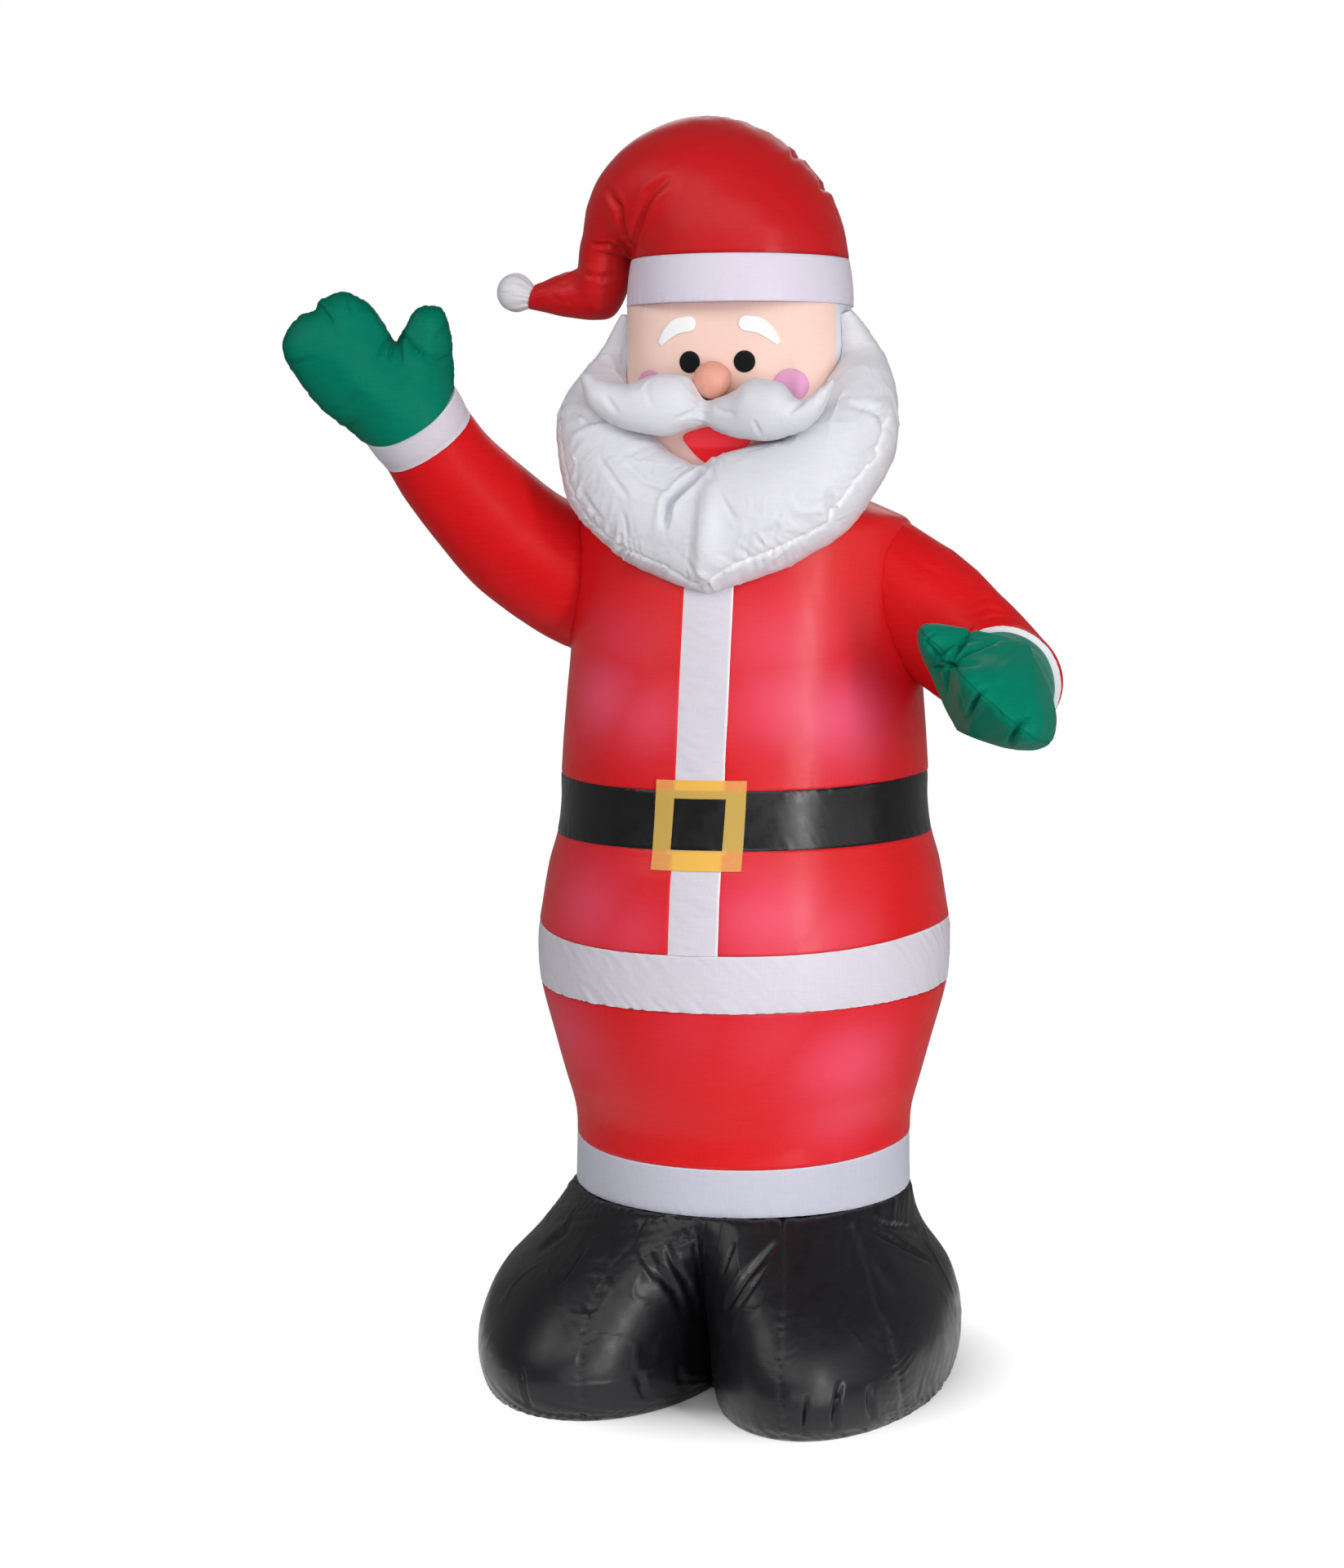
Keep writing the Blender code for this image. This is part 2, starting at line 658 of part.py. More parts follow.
def mirrored(table):
    return [(-r[0], -r[1], *r[2:]) for r in reversed(table[1:])] + list(table)


def sweep(table, stations, heart, sides, out=0.0):
    """Oval rings along a table of centres; their width points away from the heart."""
    heart = Vector(heart)
    rings = []
    for t in stations:
        x, y, z, wide, deep = catmull(table, t)
        centre = Vector((x, y, z))
        ahead = Vector(catmull(table, min(1.0, t + 0.02))[:3])
        behind = Vector(catmull(table, max(-1.0, t - 0.02))[:3])
        along = (ahead - behind).normalized()
        away = centre - heart
        away = (away - away.dot(along) * along).normalized()
        fore = along.cross(away)
        if fore.y > 0:
            fore = -fore
        ring = []
        for i in range(sides):
            a = 2 * pi * i / sides
            ring.append(centre + (wide + out) * cos(a) * away + (deep + out) * sin(a) * fore)
        rings.append(ring)
    return rings


stations = [k / 10 for k in range(-10, -2)] + [-0.15, 0.0, 0.15] + [k / 10 for k in range(3, 11)]
beard_table = mirrored(BEARD)
beard_heart = (0, -88, 775)
BEARD_SIDES = 16
rings = sweep(beard_table, stations, beard_heart, BEARD_SIDES)
beard = place("beard", loft(rings), WADDING)
cut(beard, body_guide, head_guide, raised_guide, bent_guide)
rings = sweep(beard_table, stations, beard_heart, BEARD_SIDES, 2 * EDGE)
beard_guide = guide(place("beard_guide", loft(rings), None))

MOUSTACHE = ((0.0, 0, -101, 766, 9, 9), (0.12, 12, -104, 766.5, 15, 14),
             (0.4, 41, -108, 767.5, 24, 22), (0.65, 66, -112, 773, 22, 19),
             (0.85, 86, -113, 782, 13.5, 12), (1.0, 97, -112, 790, 4, 4))
half = [0.12, 0.25, 0.4, 0.55, 0.7, 0.84, 0.93, 1]
stations = [-t for t in reversed(half)] + [0] + half
rings = sweep(mirrored(MOUSTACHE), stations, (0, -108, 700), 14)
moustache = place("moustache", loft(rings), WADDING)
cheek_guides = []
for name, side in (("left", -1), ("right", 1)):
    outline = circle(side * 55.6, 784.4, 12.5 + 2 * EDGE)
    seat = patch_on_face("cheek_" + name + "_guide", outline, None, PATCH + 2 * EDGE)
    cheek_guides.append(guide(seat))
cut(moustache, head_guide, beard_guide, *cheek_guides)

# Nose: a small blown ball sewn flat to the face above the moustache
NOSE_AT = (0.0, -100.0, 788.0)
NOSE_SIZE = (13.8, 13.4, 14.4)


def nose_ball(name, mat, out):
    rings = []
    for k in range(1, 8):
        lat = pi * k / 8
        ring = []
        for i in range(14):
            lon = 2 * pi * i / 14
            x = NOSE_AT[0] + (NOSE_SIZE[0] + out) * sin(lat) * cos(lon)
            y = NOSE_AT[1] + (NOSE_SIZE[1] + out) * sin(lat) * sin(lon)
            z = NOSE_AT[2] + (NOSE_SIZE[2] + out) * cos(lat)
            ring.append(Vector((x, min(y, head_front(x, z) - 2.5 * EDGE + out), z)))
        rings.append(ring)
    reach = NOSE_SIZE[2] + out
    top = (NOSE_AT[0], NOSE_AT[1], NOSE_AT[2] + reach)
    low = (NOSE_AT[0], NOSE_AT[1], NOSE_AT[2] - reach)
    return place(name, loft(rings, top, low), mat)


nose_ball("nose", NOSE, 0.0)
nose_guide = guide(nose_ball("nose_guide", None, 3 * EDGE))
cut(moustache, nose_guide)
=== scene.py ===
"""Looks of the inflatable santa: sewn taffeta blown full of air, on a pale floor."""
import bmesh
import bpy
import numpy as np
from math import asin, atan, cos, pi, radians, sin
from mathutils import Matrix, Vector


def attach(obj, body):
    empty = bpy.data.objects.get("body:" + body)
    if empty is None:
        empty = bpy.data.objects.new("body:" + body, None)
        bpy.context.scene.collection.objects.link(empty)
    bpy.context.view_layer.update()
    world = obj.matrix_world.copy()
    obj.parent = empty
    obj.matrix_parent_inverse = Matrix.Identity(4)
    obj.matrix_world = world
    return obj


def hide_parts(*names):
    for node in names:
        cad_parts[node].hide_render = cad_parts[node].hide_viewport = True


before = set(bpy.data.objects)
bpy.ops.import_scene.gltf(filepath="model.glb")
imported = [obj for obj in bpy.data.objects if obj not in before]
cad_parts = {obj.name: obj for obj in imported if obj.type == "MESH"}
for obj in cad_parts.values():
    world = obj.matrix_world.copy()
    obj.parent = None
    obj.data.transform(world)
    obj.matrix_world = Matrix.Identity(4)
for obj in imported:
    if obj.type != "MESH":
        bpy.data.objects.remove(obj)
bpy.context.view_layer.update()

# The figure is 995 units tall; sizes below are in these units, as in the part
HEIGHT = 1.80
UNIT = HEIGHT / 995.0
# Half of the gap between two sewn panels
EDGE = 0.0003 / UNIT / 2

# Heights of the seams between the panels
CUFF_LOW = 150.0
CUFF_TOP = 187.0
HEM_LOW = 313.0
HEM_TOP = 357.0
BELT_LOW = 435.0
BELT_TOP = 479.5
NECK = 706.0
BAND_LOW = 847.0
BAND_TOP = 883.0
# The rings of colour climb a little to the right, most at this height and not past the reach
RING_TILT = 0.012
TILT_MIDDLE = 400.0
TILT_REACH = 240.0
# The body's rings: height, half width, half depth and middle from front to back
BODY = (
    (150, 134.7, 134.7, 0), (187, 134.4, 134.4, 0), (211, 135.6, 135.6, 0),
    (244, 144.4, 144.2, 0), (277, 153.3, 153.0, 0), (311, 162.2, 161.0, 0),
    (331, 165.0, 163.5, 0), (355, 165.2, 163.0, 0), (377, 162.2, 160.0, 0),
    (411, 156.4, 155.0, 0), (435, 149.5, 148.5, 0), (460, 146.4, 144.5, 0),
    (483, 146.4, 142.0, 0), (509, 145.0, 138.5, 0), (546, 142.5, 132.5, 0),
    (575, 140.0, 127.5, 0), (619, 138.0, 119.5, 0), (660, 136.5, 112.0, -1),
    (682, 131.0, 104.0, -5), (692, 112.0, 94.0, -11), (700, 94.0, 86.0, -15),
    (706, 82.0, 82.0, -16.7),
)
# Head, front strip and buckle
HEAD_Y = -16.7
HEAD_HALF = 87.0
HEAD_FRONT = 70.0
HEAD_BACK = 84.0
FACE_SEAM = -46.0
STRIP_HALF = 19.4
STRIP_X = 1.7
STRIP_TOP = 655.0
STRIP_SUNK = -4.5
BUCKLE_HALF = 35.2
BUCKLE_HOLE = 20.2
BUCKLE_Z = (420.2, 487.6)
BUCKLE_HOLE_Z = (435.4, 473.9)


def catmull(table, x):
    """Smooth interpolation of a table of rows, each row led by its place x."""
    if x <= table[0][0]:
        return list(table[0][1:])
    if x >= table[-1][0]:
        return list(table[-1][1:])
    i = 0
    while table[i + 1][0] < x:
        i += 1
    a = table[max(i - 1, 0)]
    b = table[i]
    c = table[i + 1]
    d = table[min(i + 2, len(table) - 1)]
    span = c[0] - b[0]
    t = (x - b[0]) / span
    row = []
    for k in range(1, len(b)):
        m0 = (c[k] - a[k]) / (c[0] - a[0]) * span
        m1 = (d[k] - b[k]) / (d[0] - b[0]) * span
        h = c[k] - b[k]
        row.append(b[k] + t * (m0 + t * (3 * h - 2 * m0 - m1 + t * (m0 + m1 - 2 * h))))
    return row


def spread(table, places):
    """The table's rows at many places, as an array."""
    return np.array([catmull(table, x) for x in places])


def heading(table, x, step):
    """Which way the table's first three columns run at x."""
    return (Vector(catmull(table, x + step)[:3]) - Vector(catmull(table, x - step)[:3])).normalized()


def turns(count):
    """That many angles once round."""
    return np.arange(count) * 2 * pi / count


# Noise, the same on every run
def soft_noise(p, size, seed):
    """Smooth noise from -1 to 1 at points p, with lumps of about that size."""
    q = p / size + 31.7 * seed
    base = np.floor(q).astype(np.int64)
    f = q - base
    f = f * f * f * (f * (f * 6 - 15) + 10)
    total = np.zeros(p.shape[:-1])
    for corner in np.ndindex(2, 2, 2):
        key = (base + corner) * (73856093, 19349663, 83492791)
        h = (key[..., 0] ^ key[..., 1] ^ key[..., 2] ^ (seed * 2654435 + 977)) & 0xffffffff
        h = ((h ^ (h >> 13)) * 1274126177) & 0xffffffff
        h = ((h ^ (h >> 16)) & 0xffff) / 32767.5 - 1
        total += np.where(corner, f, 1 - f).prod(-1) * h
    return total


def ripple(u, wave, seed, v=0.0):
    """Uneven pleats along u; v lets them change across."""
    p = np.stack([u, v + 0 * u, 0 * u], -1)
    n = soft_noise(p, wave * 0.55, seed) * 0.8 + soft_noise(p, wave * 0.27, seed + 5) * 0.2
    return 1.7 * np.abs(n) ** 0.7 - 0.75


def creases(p, size, seed, thin=0.08):
    """Thin raised lines that wander over the cloth and fade in and out."""
    line = np.exp(-(soft_noise(p, size, seed) / thin) ** 2)
    return line * np.clip(1.5 * soft_noise(p, size * 1.5, seed + 1) + 0.2, 0, 1)


def line_distance(p, path):
    """Distance of points p from a path, how far along it they are, and its length."""
    path = np.asarray(path, float)
    best = np.full(p.shape[:-1], 1e9)
    along = np.zeros(p.shape[:-1])
    run = 0.0
    for a, b in zip(path[:-1], path[1:]):
        d = b - a
        length = float(np.linalg.norm(d))
        t = np.clip(((p - a) @ d) / (length * length), 0, 1)
        gap = np.linalg.norm(p - (a + t[..., None] * d), axis=-1)
        near = gap < best
        best = np.where(near, gap, best)
        along = np.where(near, run + t * length, along)
        run += length
    return best, along, run


def fold(p, path, width, depth):
    """A crease that sinks in along a path and swells beside it; it fades at both ends."""
    gap, along, run = line_distance(p, path)
    q = gap / width
    ends = np.sin(np.clip(along / run, 0.0, 1.0) * pi) ** 0.6
    return -depth * ends * (1 - 1.1 * q * q) * np.exp(-q * q)


def add_folds(lift, p, folds, wide=1.0, deep=1.0, near=1.0):
    """Sink each fold, a path with its width and depth, into the lift of the points p."""
    for path, width, depth in folds:
        lift += deep * fold(p, path, wide * width, depth) * near


def seen(p):
    """The x and z of points, as the viewer in front sees them."""
    return p[..., [0, 2]]


def seam(u, gap, wave, reach, depth, seed, groove=0.45, slant=0.0, wide=0.9):
    """Puckers that run off a seam, u along it and gap away from it; the stitches sink in a groove."""
    near = np.exp(-gap / reach)
    pleats = ripple(u + slant * gap, wave, seed, gap * 0.25)
    return depth * near * pleats - groove * np.exp(-(gap / wide) ** 2)


GROOVE_WIDE = 1.3
THREAD_WIDE = 1.1


def line_seam(p, path, wave, reach, depth, seed, groove, slant):
    """Puckers and stitch groove along a sewn line; also how strongly its thread shows."""
    gap, along, _ = line_distance(p, path)
    lift = seam(along, gap, wave, reach, depth, seed, groove, slant, GROOVE_WIDE)
    return lift, np.exp(-(gap / THREAD_WIDE) ** 2)


def threads(low_gap, high_gap, strength, low_wide=0.9, high_wide=0.9):
    """How strongly the threads of a panel's two seams show."""
    line = np.exp(-(low_gap / low_wide) ** 2) + np.exp(-(high_gap / high_wide) ** 2)
    return np.clip(line, 0, 1) * strength


# Mesh building
def outward(grid):
    """Unit normals of a grid closed along its columns, pointing away from its rings' middles."""
    n = np.cross(np.roll(grid, -1, 1) - np.roll(grid, 1, 1), np.gradient(grid, axis=0))
    n = n / np.maximum(np.linalg.norm(n, axis=2, keepdims=True), 1e-9)
    return -n if (n * (grid - grid.mean(1, keepdims=True))).sum() < 0 else n


def displaced(grid, lift):
    """The grid moved out along its normals."""
    return grid + outward(grid) * lift[..., None]


def row_distances(grid):
    """How far each point lies from the grid's first and last rows, along its column."""
    step = np.linalg.norm(np.diff(grid, axis=0), axis=2)
    far = np.vstack([np.zeros(grid.shape[1]), np.cumsum(step, 0)])
    return far, far[-1] - far


def closed_mesh(name, verts, faces, marks, sharp):
    """Object of a closed mesh with its faces turned outward and marks on its points."""
    mesh = bpy.data.meshes.new(name)
    mesh.from_pydata((verts * UNIT).tolist(), [], faces)
    for key, values in marks.items():
        layer = mesh.attributes.new(key, "FLOAT", "POINT")
        layer.data.foreach_set("value", values.astype(np.float32))
    bm = bmesh.new()
    bm.from_mesh(mesh)
    bmesh.ops.recalc_face_normals(bm, faces=bm.faces)
    if bm.calc_volume(signed=True) < 0:
        bmesh.ops.reverse_faces(bm, faces=bm.faces)
    bm.to_mesh(mesh)
    bm.free()
    mesh.shade_smooth()
    mesh.set_sharp_from_angle(angle=radians(sharp))
    obj = bpy.data.objects.new(name, mesh)
    bpy.context.scene.collection.objects.link(obj)
    return obj


def skin(name, grid, marks=None, sharp=55.0):
    """Closed mesh from a grid closed along its columns; both ends meet in a middle point."""
    rows, cols = grid.shape[:2]
    verts = np.vstack([grid.reshape(-1, 3), grid[0].mean(0), grid[-1].mean(0)])
    i = np.arange(cols)
    j = (i + 1) % cols
    r = np.arange(rows - 1)[:, None] * cols
    quads = np.stack([r + i, r + j, r + cols + j, r + cols + i], -1).reshape(-1, 4)
    end = (rows - 1) * cols
    n = rows * cols
    caps = [(b, a, n) for a, b in zip(i.tolist(), j.tolist())]
    caps += [(end + a, end + b, n + 1) for a, b in zip(i.tolist(), j.tolist())]
    marks = {key: np.append(values.reshape(-1), [0.0, 0.0]) for key, values in (marks or {}).items()}
    return closed_mesh(name, verts, quads.tolist() + caps, marks, sharp)


def dress(obj, mat, node):
    """The piece gets its cloth, rides on the figure and stands for its solid."""
    obj.data.materials.clear()
    obj.data.materials.append(mat)
    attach(obj, "root")
    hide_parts(node)


def carve(obj, *cutters):
    """Take other closed meshes off a piece, and keep the result."""
    for cutter in cutters:
        mod = obj.modifiers.new("cut", "BOOLEAN")
        mod.operation = "DIFFERENCE"
        mod.solver = "EXACT"
        mod.object = cutter
    view = bpy.context.evaluated_depsgraph_get()
    mesh = bpy.data.meshes.new_from_object(obj.evaluated_get(view))
    obj.modifiers.clear()
    old = obj.data
    obj.data = mesh
    bpy.data.meshes.remove(old)


def drop(*objs):
    for obj in objs:
        mesh = obj.data
        bpy.data.objects.remove(obj, do_unlink=True)
        bpy.data.meshes.remove(mesh)


# Cloth
def feed(tree, node, inputs):
    """Give a node's inputs, by name or number, a value, a colour or another node's output."""
    for key, value in inputs.items():
        socket = node.inputs[key]
        if isinstance(value, bpy.types.NodeSocket):
            tree.links.new(value, socket)
        else:
            socket.default_value = (*value, 1.0) if socket.type == "RGBA" else value


def add_node(tree, kind, inputs):
    node = tree.nodes.new("ShaderNode" + kind)
    feed(tree, node, inputs)
    return node


def cloth(name, colour, rough, weave, crinkle, sheen, shine=0.3, **tints):
    """Taffeta: fine threads both ways, faint slubs, small crinkles and a satin gloss.

    A tint is the colour that the mesh mark of its name draws the cloth to.
    """
    mat = bpy.data.materials.new(name)
    mat.use_nodes = True
    tree = mat.node_tree
    shader = tree.nodes["Principled BSDF"]
    shader.inputs["Specular IOR Level"].default_value = shine
    shader.inputs["Sheen Weight"].default_value = sheen
    shader.inputs["Sheen Roughness"].default_value = 0.45
    place = add_node(tree, "TexCoord", {}).outputs["Object"]

    def noise(scale, detail, stretch=(1, 1, 1), grain=0.5):
        move = add_node(tree, "Mapping", {"Vector": place, "Scale": stretch}).outputs["Vector"]
        look = {"Vector": move, "Scale": scale, "Detail": detail, "Roughness": grain}
        return add_node(tree, "TexNoise", look).outputs["Fac"]

    def mix(factor, a, b):
        node = tree.nodes.new("ShaderNodeMix")
        node.data_type = "RGBA"
        feed(tree, node, {0: factor, 6: a, 7: b})
        return node.outputs[2]

    def ramp(value, low, high, a=0.0, b=1.0):
        ends = {"Value": value, "From Min": low, "From Max": high, "To Min": a, "To Max": b}
        return add_node(tree, "MapRange", ends).outputs["Result"]

    def bump(strength, distance, height, **under):
        look = {"Strength": strength, "Distance": distance, "Height": height, **under}
        return add_node(tree, "Bump", look).outputs["Normal"]

    dark = tuple(c * 0.80 for c in colour)
    pale = tuple(min(1.0, c * 1.06 + 0.01) for c in colour)
    across = mix(ramp(noise(260, 3.0, (0.12, 0.12, 3.0)), 0.35, 0.65), dark, pale)
    down = mix(ramp(noise(260, 3.0, (3.0, 3.0, 0.12)), 0.35, 0.65), dark, pale)
    slubs = ramp(noise(7, 2.0), 0.3, 0.7, 0.0, 0.35)
    woven = mix(slubs, mix(0.5, across, down), tuple(c * 0.9 for c in colour))
    tint = mix(weave, colour, woven)
    for mark, marked in tints.items():
        attribute = add_node(tree, "Attribute", {})
        attribute.attribute_name = mark
        tint = mix(attribute.outputs["Fac"], tint, marked)
    fine_threads = mix(0.5, noise(900, 1.0, (0.1, 0.1, 1.0)), noise(900, 1.0, (1.0, 1.0, 0.1)))
    fine = bump(0.25, 0.0003, fine_threads)
    crinkled = bump(crinkle, 0.0015, noise(55, 3.0, grain=0.45), Normal=fine)
    gloss = ramp(noise(40, 3.0), 0.3, 0.7, rough - 0.05, rough + 0.06)
    feed(tree, shader, {"Base Color": tint, "Roughness": gloss, "Normal": crinkled})
    return mat


# Painted light: the pink that the reds turn to where lamp light through the cloth is painted
RED_PAINTED_GLOW = (0.92, 0.10, 0.19)
RED_SEAM = (0.36, 0.004, 0.01)
# Each cloth: name, colour, roughness, weave, crinkle, sheen and shine, then its tints
RED = cloth("red_taffeta", (0.74, 0.007, 0.010), 0.33, 0.5, 0.14, 0.0, 0.28, glow=RED_PAINTED_GLOW, seam=RED_SEAM)
SLEEVE_RED = cloth("sleeve_taffeta", (0.72, 0.007, 0.010), 0.38, 0.5, 0.16, 0.0, 0.07,
                   glow=RED_PAINTED_GLOW, seam=RED_SEAM)
# The hat's red is the coat's red taffeta made darker: painted shade
SHADED_HAT_RED = cloth("shaded_hat_taffeta", (0.60, 0.007, 0.010), 0.36, 0.5, 0.16, 0.0, 0.2, seam=RED_SEAM)
CUFF_CLOTH = cloth("cuff_taffeta", (0.58, 0.58, 0.68), 0.45, 0.35, 0.14, 0.06, seam=(0.8, 0.8, 0.86))
WHITE = cloth("white_taffeta", (0.72, 0.68, 0.76), 0.45, 0.35, 0.14, 0.06, seam=(0.95, 0.92, 0.95))
BAND = cloth("hat_band_taffeta", (0.76, 0.70, 0.82), 0.45, 0.22, 0.10, 0.06, seam=(0.60, 0.55, 0.68))
BLACK = cloth("black_taffeta", (0.004, 0.004, 0.005), 0.28, 0.4, 0.10, 0.0, 0.40)
BOOT = cloth("boot_satin", (0.003, 0.003, 0.005), 0.35, 0.5, 0.16, 0.0, 0.40, seam=(0.012, 0.012, 0.014))
# Its darker first tint is painted shade towards the raised mitten's rim
GREEN = cloth("green_taffeta", (0.0, 0.20, 0.125), 0.36, 0.5, 0.22, 0.0, 0.035,
              glow=(0.0, 0.085, 0.055), seam=(0.0, 0.10, 0.06))
SKIN = cloth("skin_taffeta", (0.96, 0.68, 0.59), 0.5, 0.18, 0.05, 0.03, 0.12)
NOSE = cloth("nose_taffeta", (0.86, 0.40, 0.30), 0.45, 0.3, 0.10, 0.05)
# The mouth turns a darker red towards the bottom
MOUTH = cloth("mouth_taffeta", (0.98, 0.06, 0.08), 0.45, 0.2, 0.05, 0.05, 0.1, glow=(0.80, 0.018, 0.024))
# A little emission is painted light: it keeps the mouth bright in the shade under the moustache
MOUTH.node_tree.nodes["Principled BSDF"].inputs["Emission Color"].default_value = (0.9, 0.02, 0.03, 1)
MOUTH.node_tree.nodes["Principled BSDF"].inputs["Emission Strength"].default_value = 0.17
CHEEK = cloth("cheek_taffeta", (0.80, 0.38, 0.62), 0.5, 0.25, 0.05, 0.05)
BEARD_CLOTH = cloth("beard_taffeta", (0.75, 0.75, 0.80), 0.38, 0.3, 0.5, 0.04, seam=(0.95, 0.95, 0.97))
EYE = cloth("eye_taffeta", (0.004, 0.004, 0.005), 0.4, 0.3, 0.03, 0.01, 0.15)
BROW_CLOTH = cloth("brow_taffeta", (1.0, 1.0, 1.0), 0.5, 0.2, 0.03, 0.05)
GOLD = cloth("gold_taffeta", (0.84, 0.33, 0.09), 0.42, 0.5, 0.06, 0.2, seam=(0.95, 0.72, 0.28),
             over_white=(0.90, 0.50, 0.08), over_black=(0.60, 0.39, 0.085))


# Body
TURNS = 450
BODY_ZS = np.linspace(140.0, 712.0, 1200)
BODY_ROWS = spread(BODY, BODY_ZS)


def body_size(z):
    return [np.interp(z, BODY_ZS, BODY_ROWS[:, k]) for k in range(3)]


def body_share(p):
    """1 on the body's surface, less inside it."""
    half, deep, cy = body_size(p[..., 2])
    return np.sqrt((p[..., 0] / half) ** 2 + ((p[..., 1] - cy) / deep) ** 2)


# How far each seam climbs at the figure's sides
SIDE_RISE = ((150, 187, 250, 313, 357, 396, 435, 479.5, 560, 720), (0, 5, 3.5, 2.5, 9, 4, 0.5, 3.5, 0, 0))


def tilted(x, y, z):
    """Points whose height leans with the rings' tilt."""
    lean = RING_TILT * np.maximum(0.0, 1.0 - ((z - TILT_MIDDLE) / TILT_REACH) ** 2)
    return np.stack([x, y, z + lean * x], -1)


def body_grid(zs, cols=TURNS, out=0.0):
    a = turns(cols)
    z = zs[:, None]
    z = z + np.interp(z, *SIDE_RISE) * np.cos(a) ** 4
    half, deep, cy = body_size(z)
    return tilted((half + out) * np.cos(a), cy + (deep + out) * np.sin(a), z)


def body_front(x, z, out):
    half, deep, cy = body_size(z)
    return tilted(x, cy - (deep + out) * np.sqrt(np.maximum(0.0, 1.0 - (x / (half + out)) ** 2)), z)


def levels(low, high, count):
    """Heights that lie closer together near both seams."""
    t = np.linspace(0, 1, count)
    t = 0.65 * t + 0.35 * (0.5 - 0.5 * np.cos(pi * t))
    return low + EDGE + (high - low - 2 * EDGE) * t


# Painted light: places where the reds turn pink, as if lamp light shone softly through the cloth: x, y, z,
# reach, strength
PAINTED_GLOWS = (
    (-90, -106, 546, 40, 0.75), (-45, -128, 532, 36, 0.5), (-75, -112, 590, 40, 0.3),
    (100, -95, 533, 44, 1.0), (66, -118, 545, 44, 0.7), (60, -120, 590, 46, 0.45),
    (-90, -125, 385, 46, 0.6), (-50, -150, 372, 40, 0.4), (55, -147, 385, 44, 0.7), (95, -120, 372, 36, 0.4),
    (110, -103, 271, 46, 0.65), (110, -100, 225, 40, 0.4), (-105, -100, 285, 44, 0.45),
    (0, -155, 303, 40, 0.15), (60, -140, 296, 44, 0.25), (90, 90, 560, 60, 0.6),
    (-80, 105, 420, 60, 0.6), (-60, 110, 270, 60, 0.4),
)


# How strongly the painted lamp light shows at points p
def glow_at(p):
    total = np.zeros(p.shape[:-1])
    for x, y, z, reach, power in PAINTED_GLOWS:
        d = p - np.array([x, y, z], float)
        d[..., 2] *= 1.3
        total = np.maximum(total, power * np.exp(-(np.linalg.norm(d, axis=-1) / reach) ** 2))
    return total


# Mean radii by which the length of a seam round each part is measured
BODY_GIRTH = 150.0
SLEEVE_GIRTH = 42.0
CUFF_GIRTH = 40.0
BAND_GIRTH = 87.0
BEARD_GIRTH = 42.0
MOUSTACHE_GIRTH = 20.0
CROWN_LENGTH = 520.0
# Seams at the back of the boots, as shares of the turn
SEAMS_BEHIND = (0.36, 0.5, 0.64)


def body_piece(name, low, high, rows, mat, node, reach, depth, wave, slant, seed, extra=None):
    """Ring of the body between two seams, with puckers that run off both."""
    zs = levels(low, high, rows)
    grid = body_grid(zs)
    u = turns(TURNS) * BODY_GIRTH + np.zeros((rows, 1))
    z = zs[:, None] + np.zeros_like(u)
    lift = seam(u, z - low, wave, reach, depth, seed, slant=slant)
    lift += seam(u, high - z, wave, reach, depth, seed + 1, slant=-slant)
    lift += 0.35 * soft_noise(grid, 48, seed) + 0.10 * soft_noise(grid, 17, seed + 2)
    if extra:
        lift += extra(grid)
    grid = displaced(grid, lift)
    # The reds show the painted lamp light here; every ring shows its seams' threads
    marks = {"glow": glow_at(grid), "seam": threads(z - low, high - z, 0.7)}
    dress(skin(name, grid, marks), mat, node)


def strip_bed(p):
    """The cloth sinks a little under the white front strip."""
    side = np.abs(p[..., 0] - STRIP_X) / STRIP_HALF
    inside = (p[..., 1] < 0) & (p[..., 2] < STRIP_TOP + 4)
    return np.where(inside, -1.6 / (1 + np.exp((side - 0.96) * 60)), 0.0)


body_piece("cuff_ring", CUFF_LOW, CUFF_TOP, 26, CUFF_CLOTH, "trouser_cuff",
           9, 0.5, 8, 0.6, 11)
body_piece("trouser_barrel", CUFF_TOP, HEM_LOW, 56, RED, "trousers", 6, 0.35, 7, 0, 21)
body_piece("hem_ring", HEM_LOW, HEM_TOP, 34, WHITE, "coat_hem", 15, 1.2, 8, 0.9, 31)
body_piece("skirt_ring", HEM_TOP, BELT_LOW, 40, RED, "coat_skirt",
           6, 0.35, 7, 0, 41, strip_bed)
body_piece("belt_ring", BELT_LOW, BELT_TOP, 28, BLACK, "belt", 8, 0.4, 9, 0.5, 51)
body_piece("coat_torso", BELT_TOP, NECK, 96, RED, "coat_body", 6, 0.35, 7, 0, 61, strip_bed)


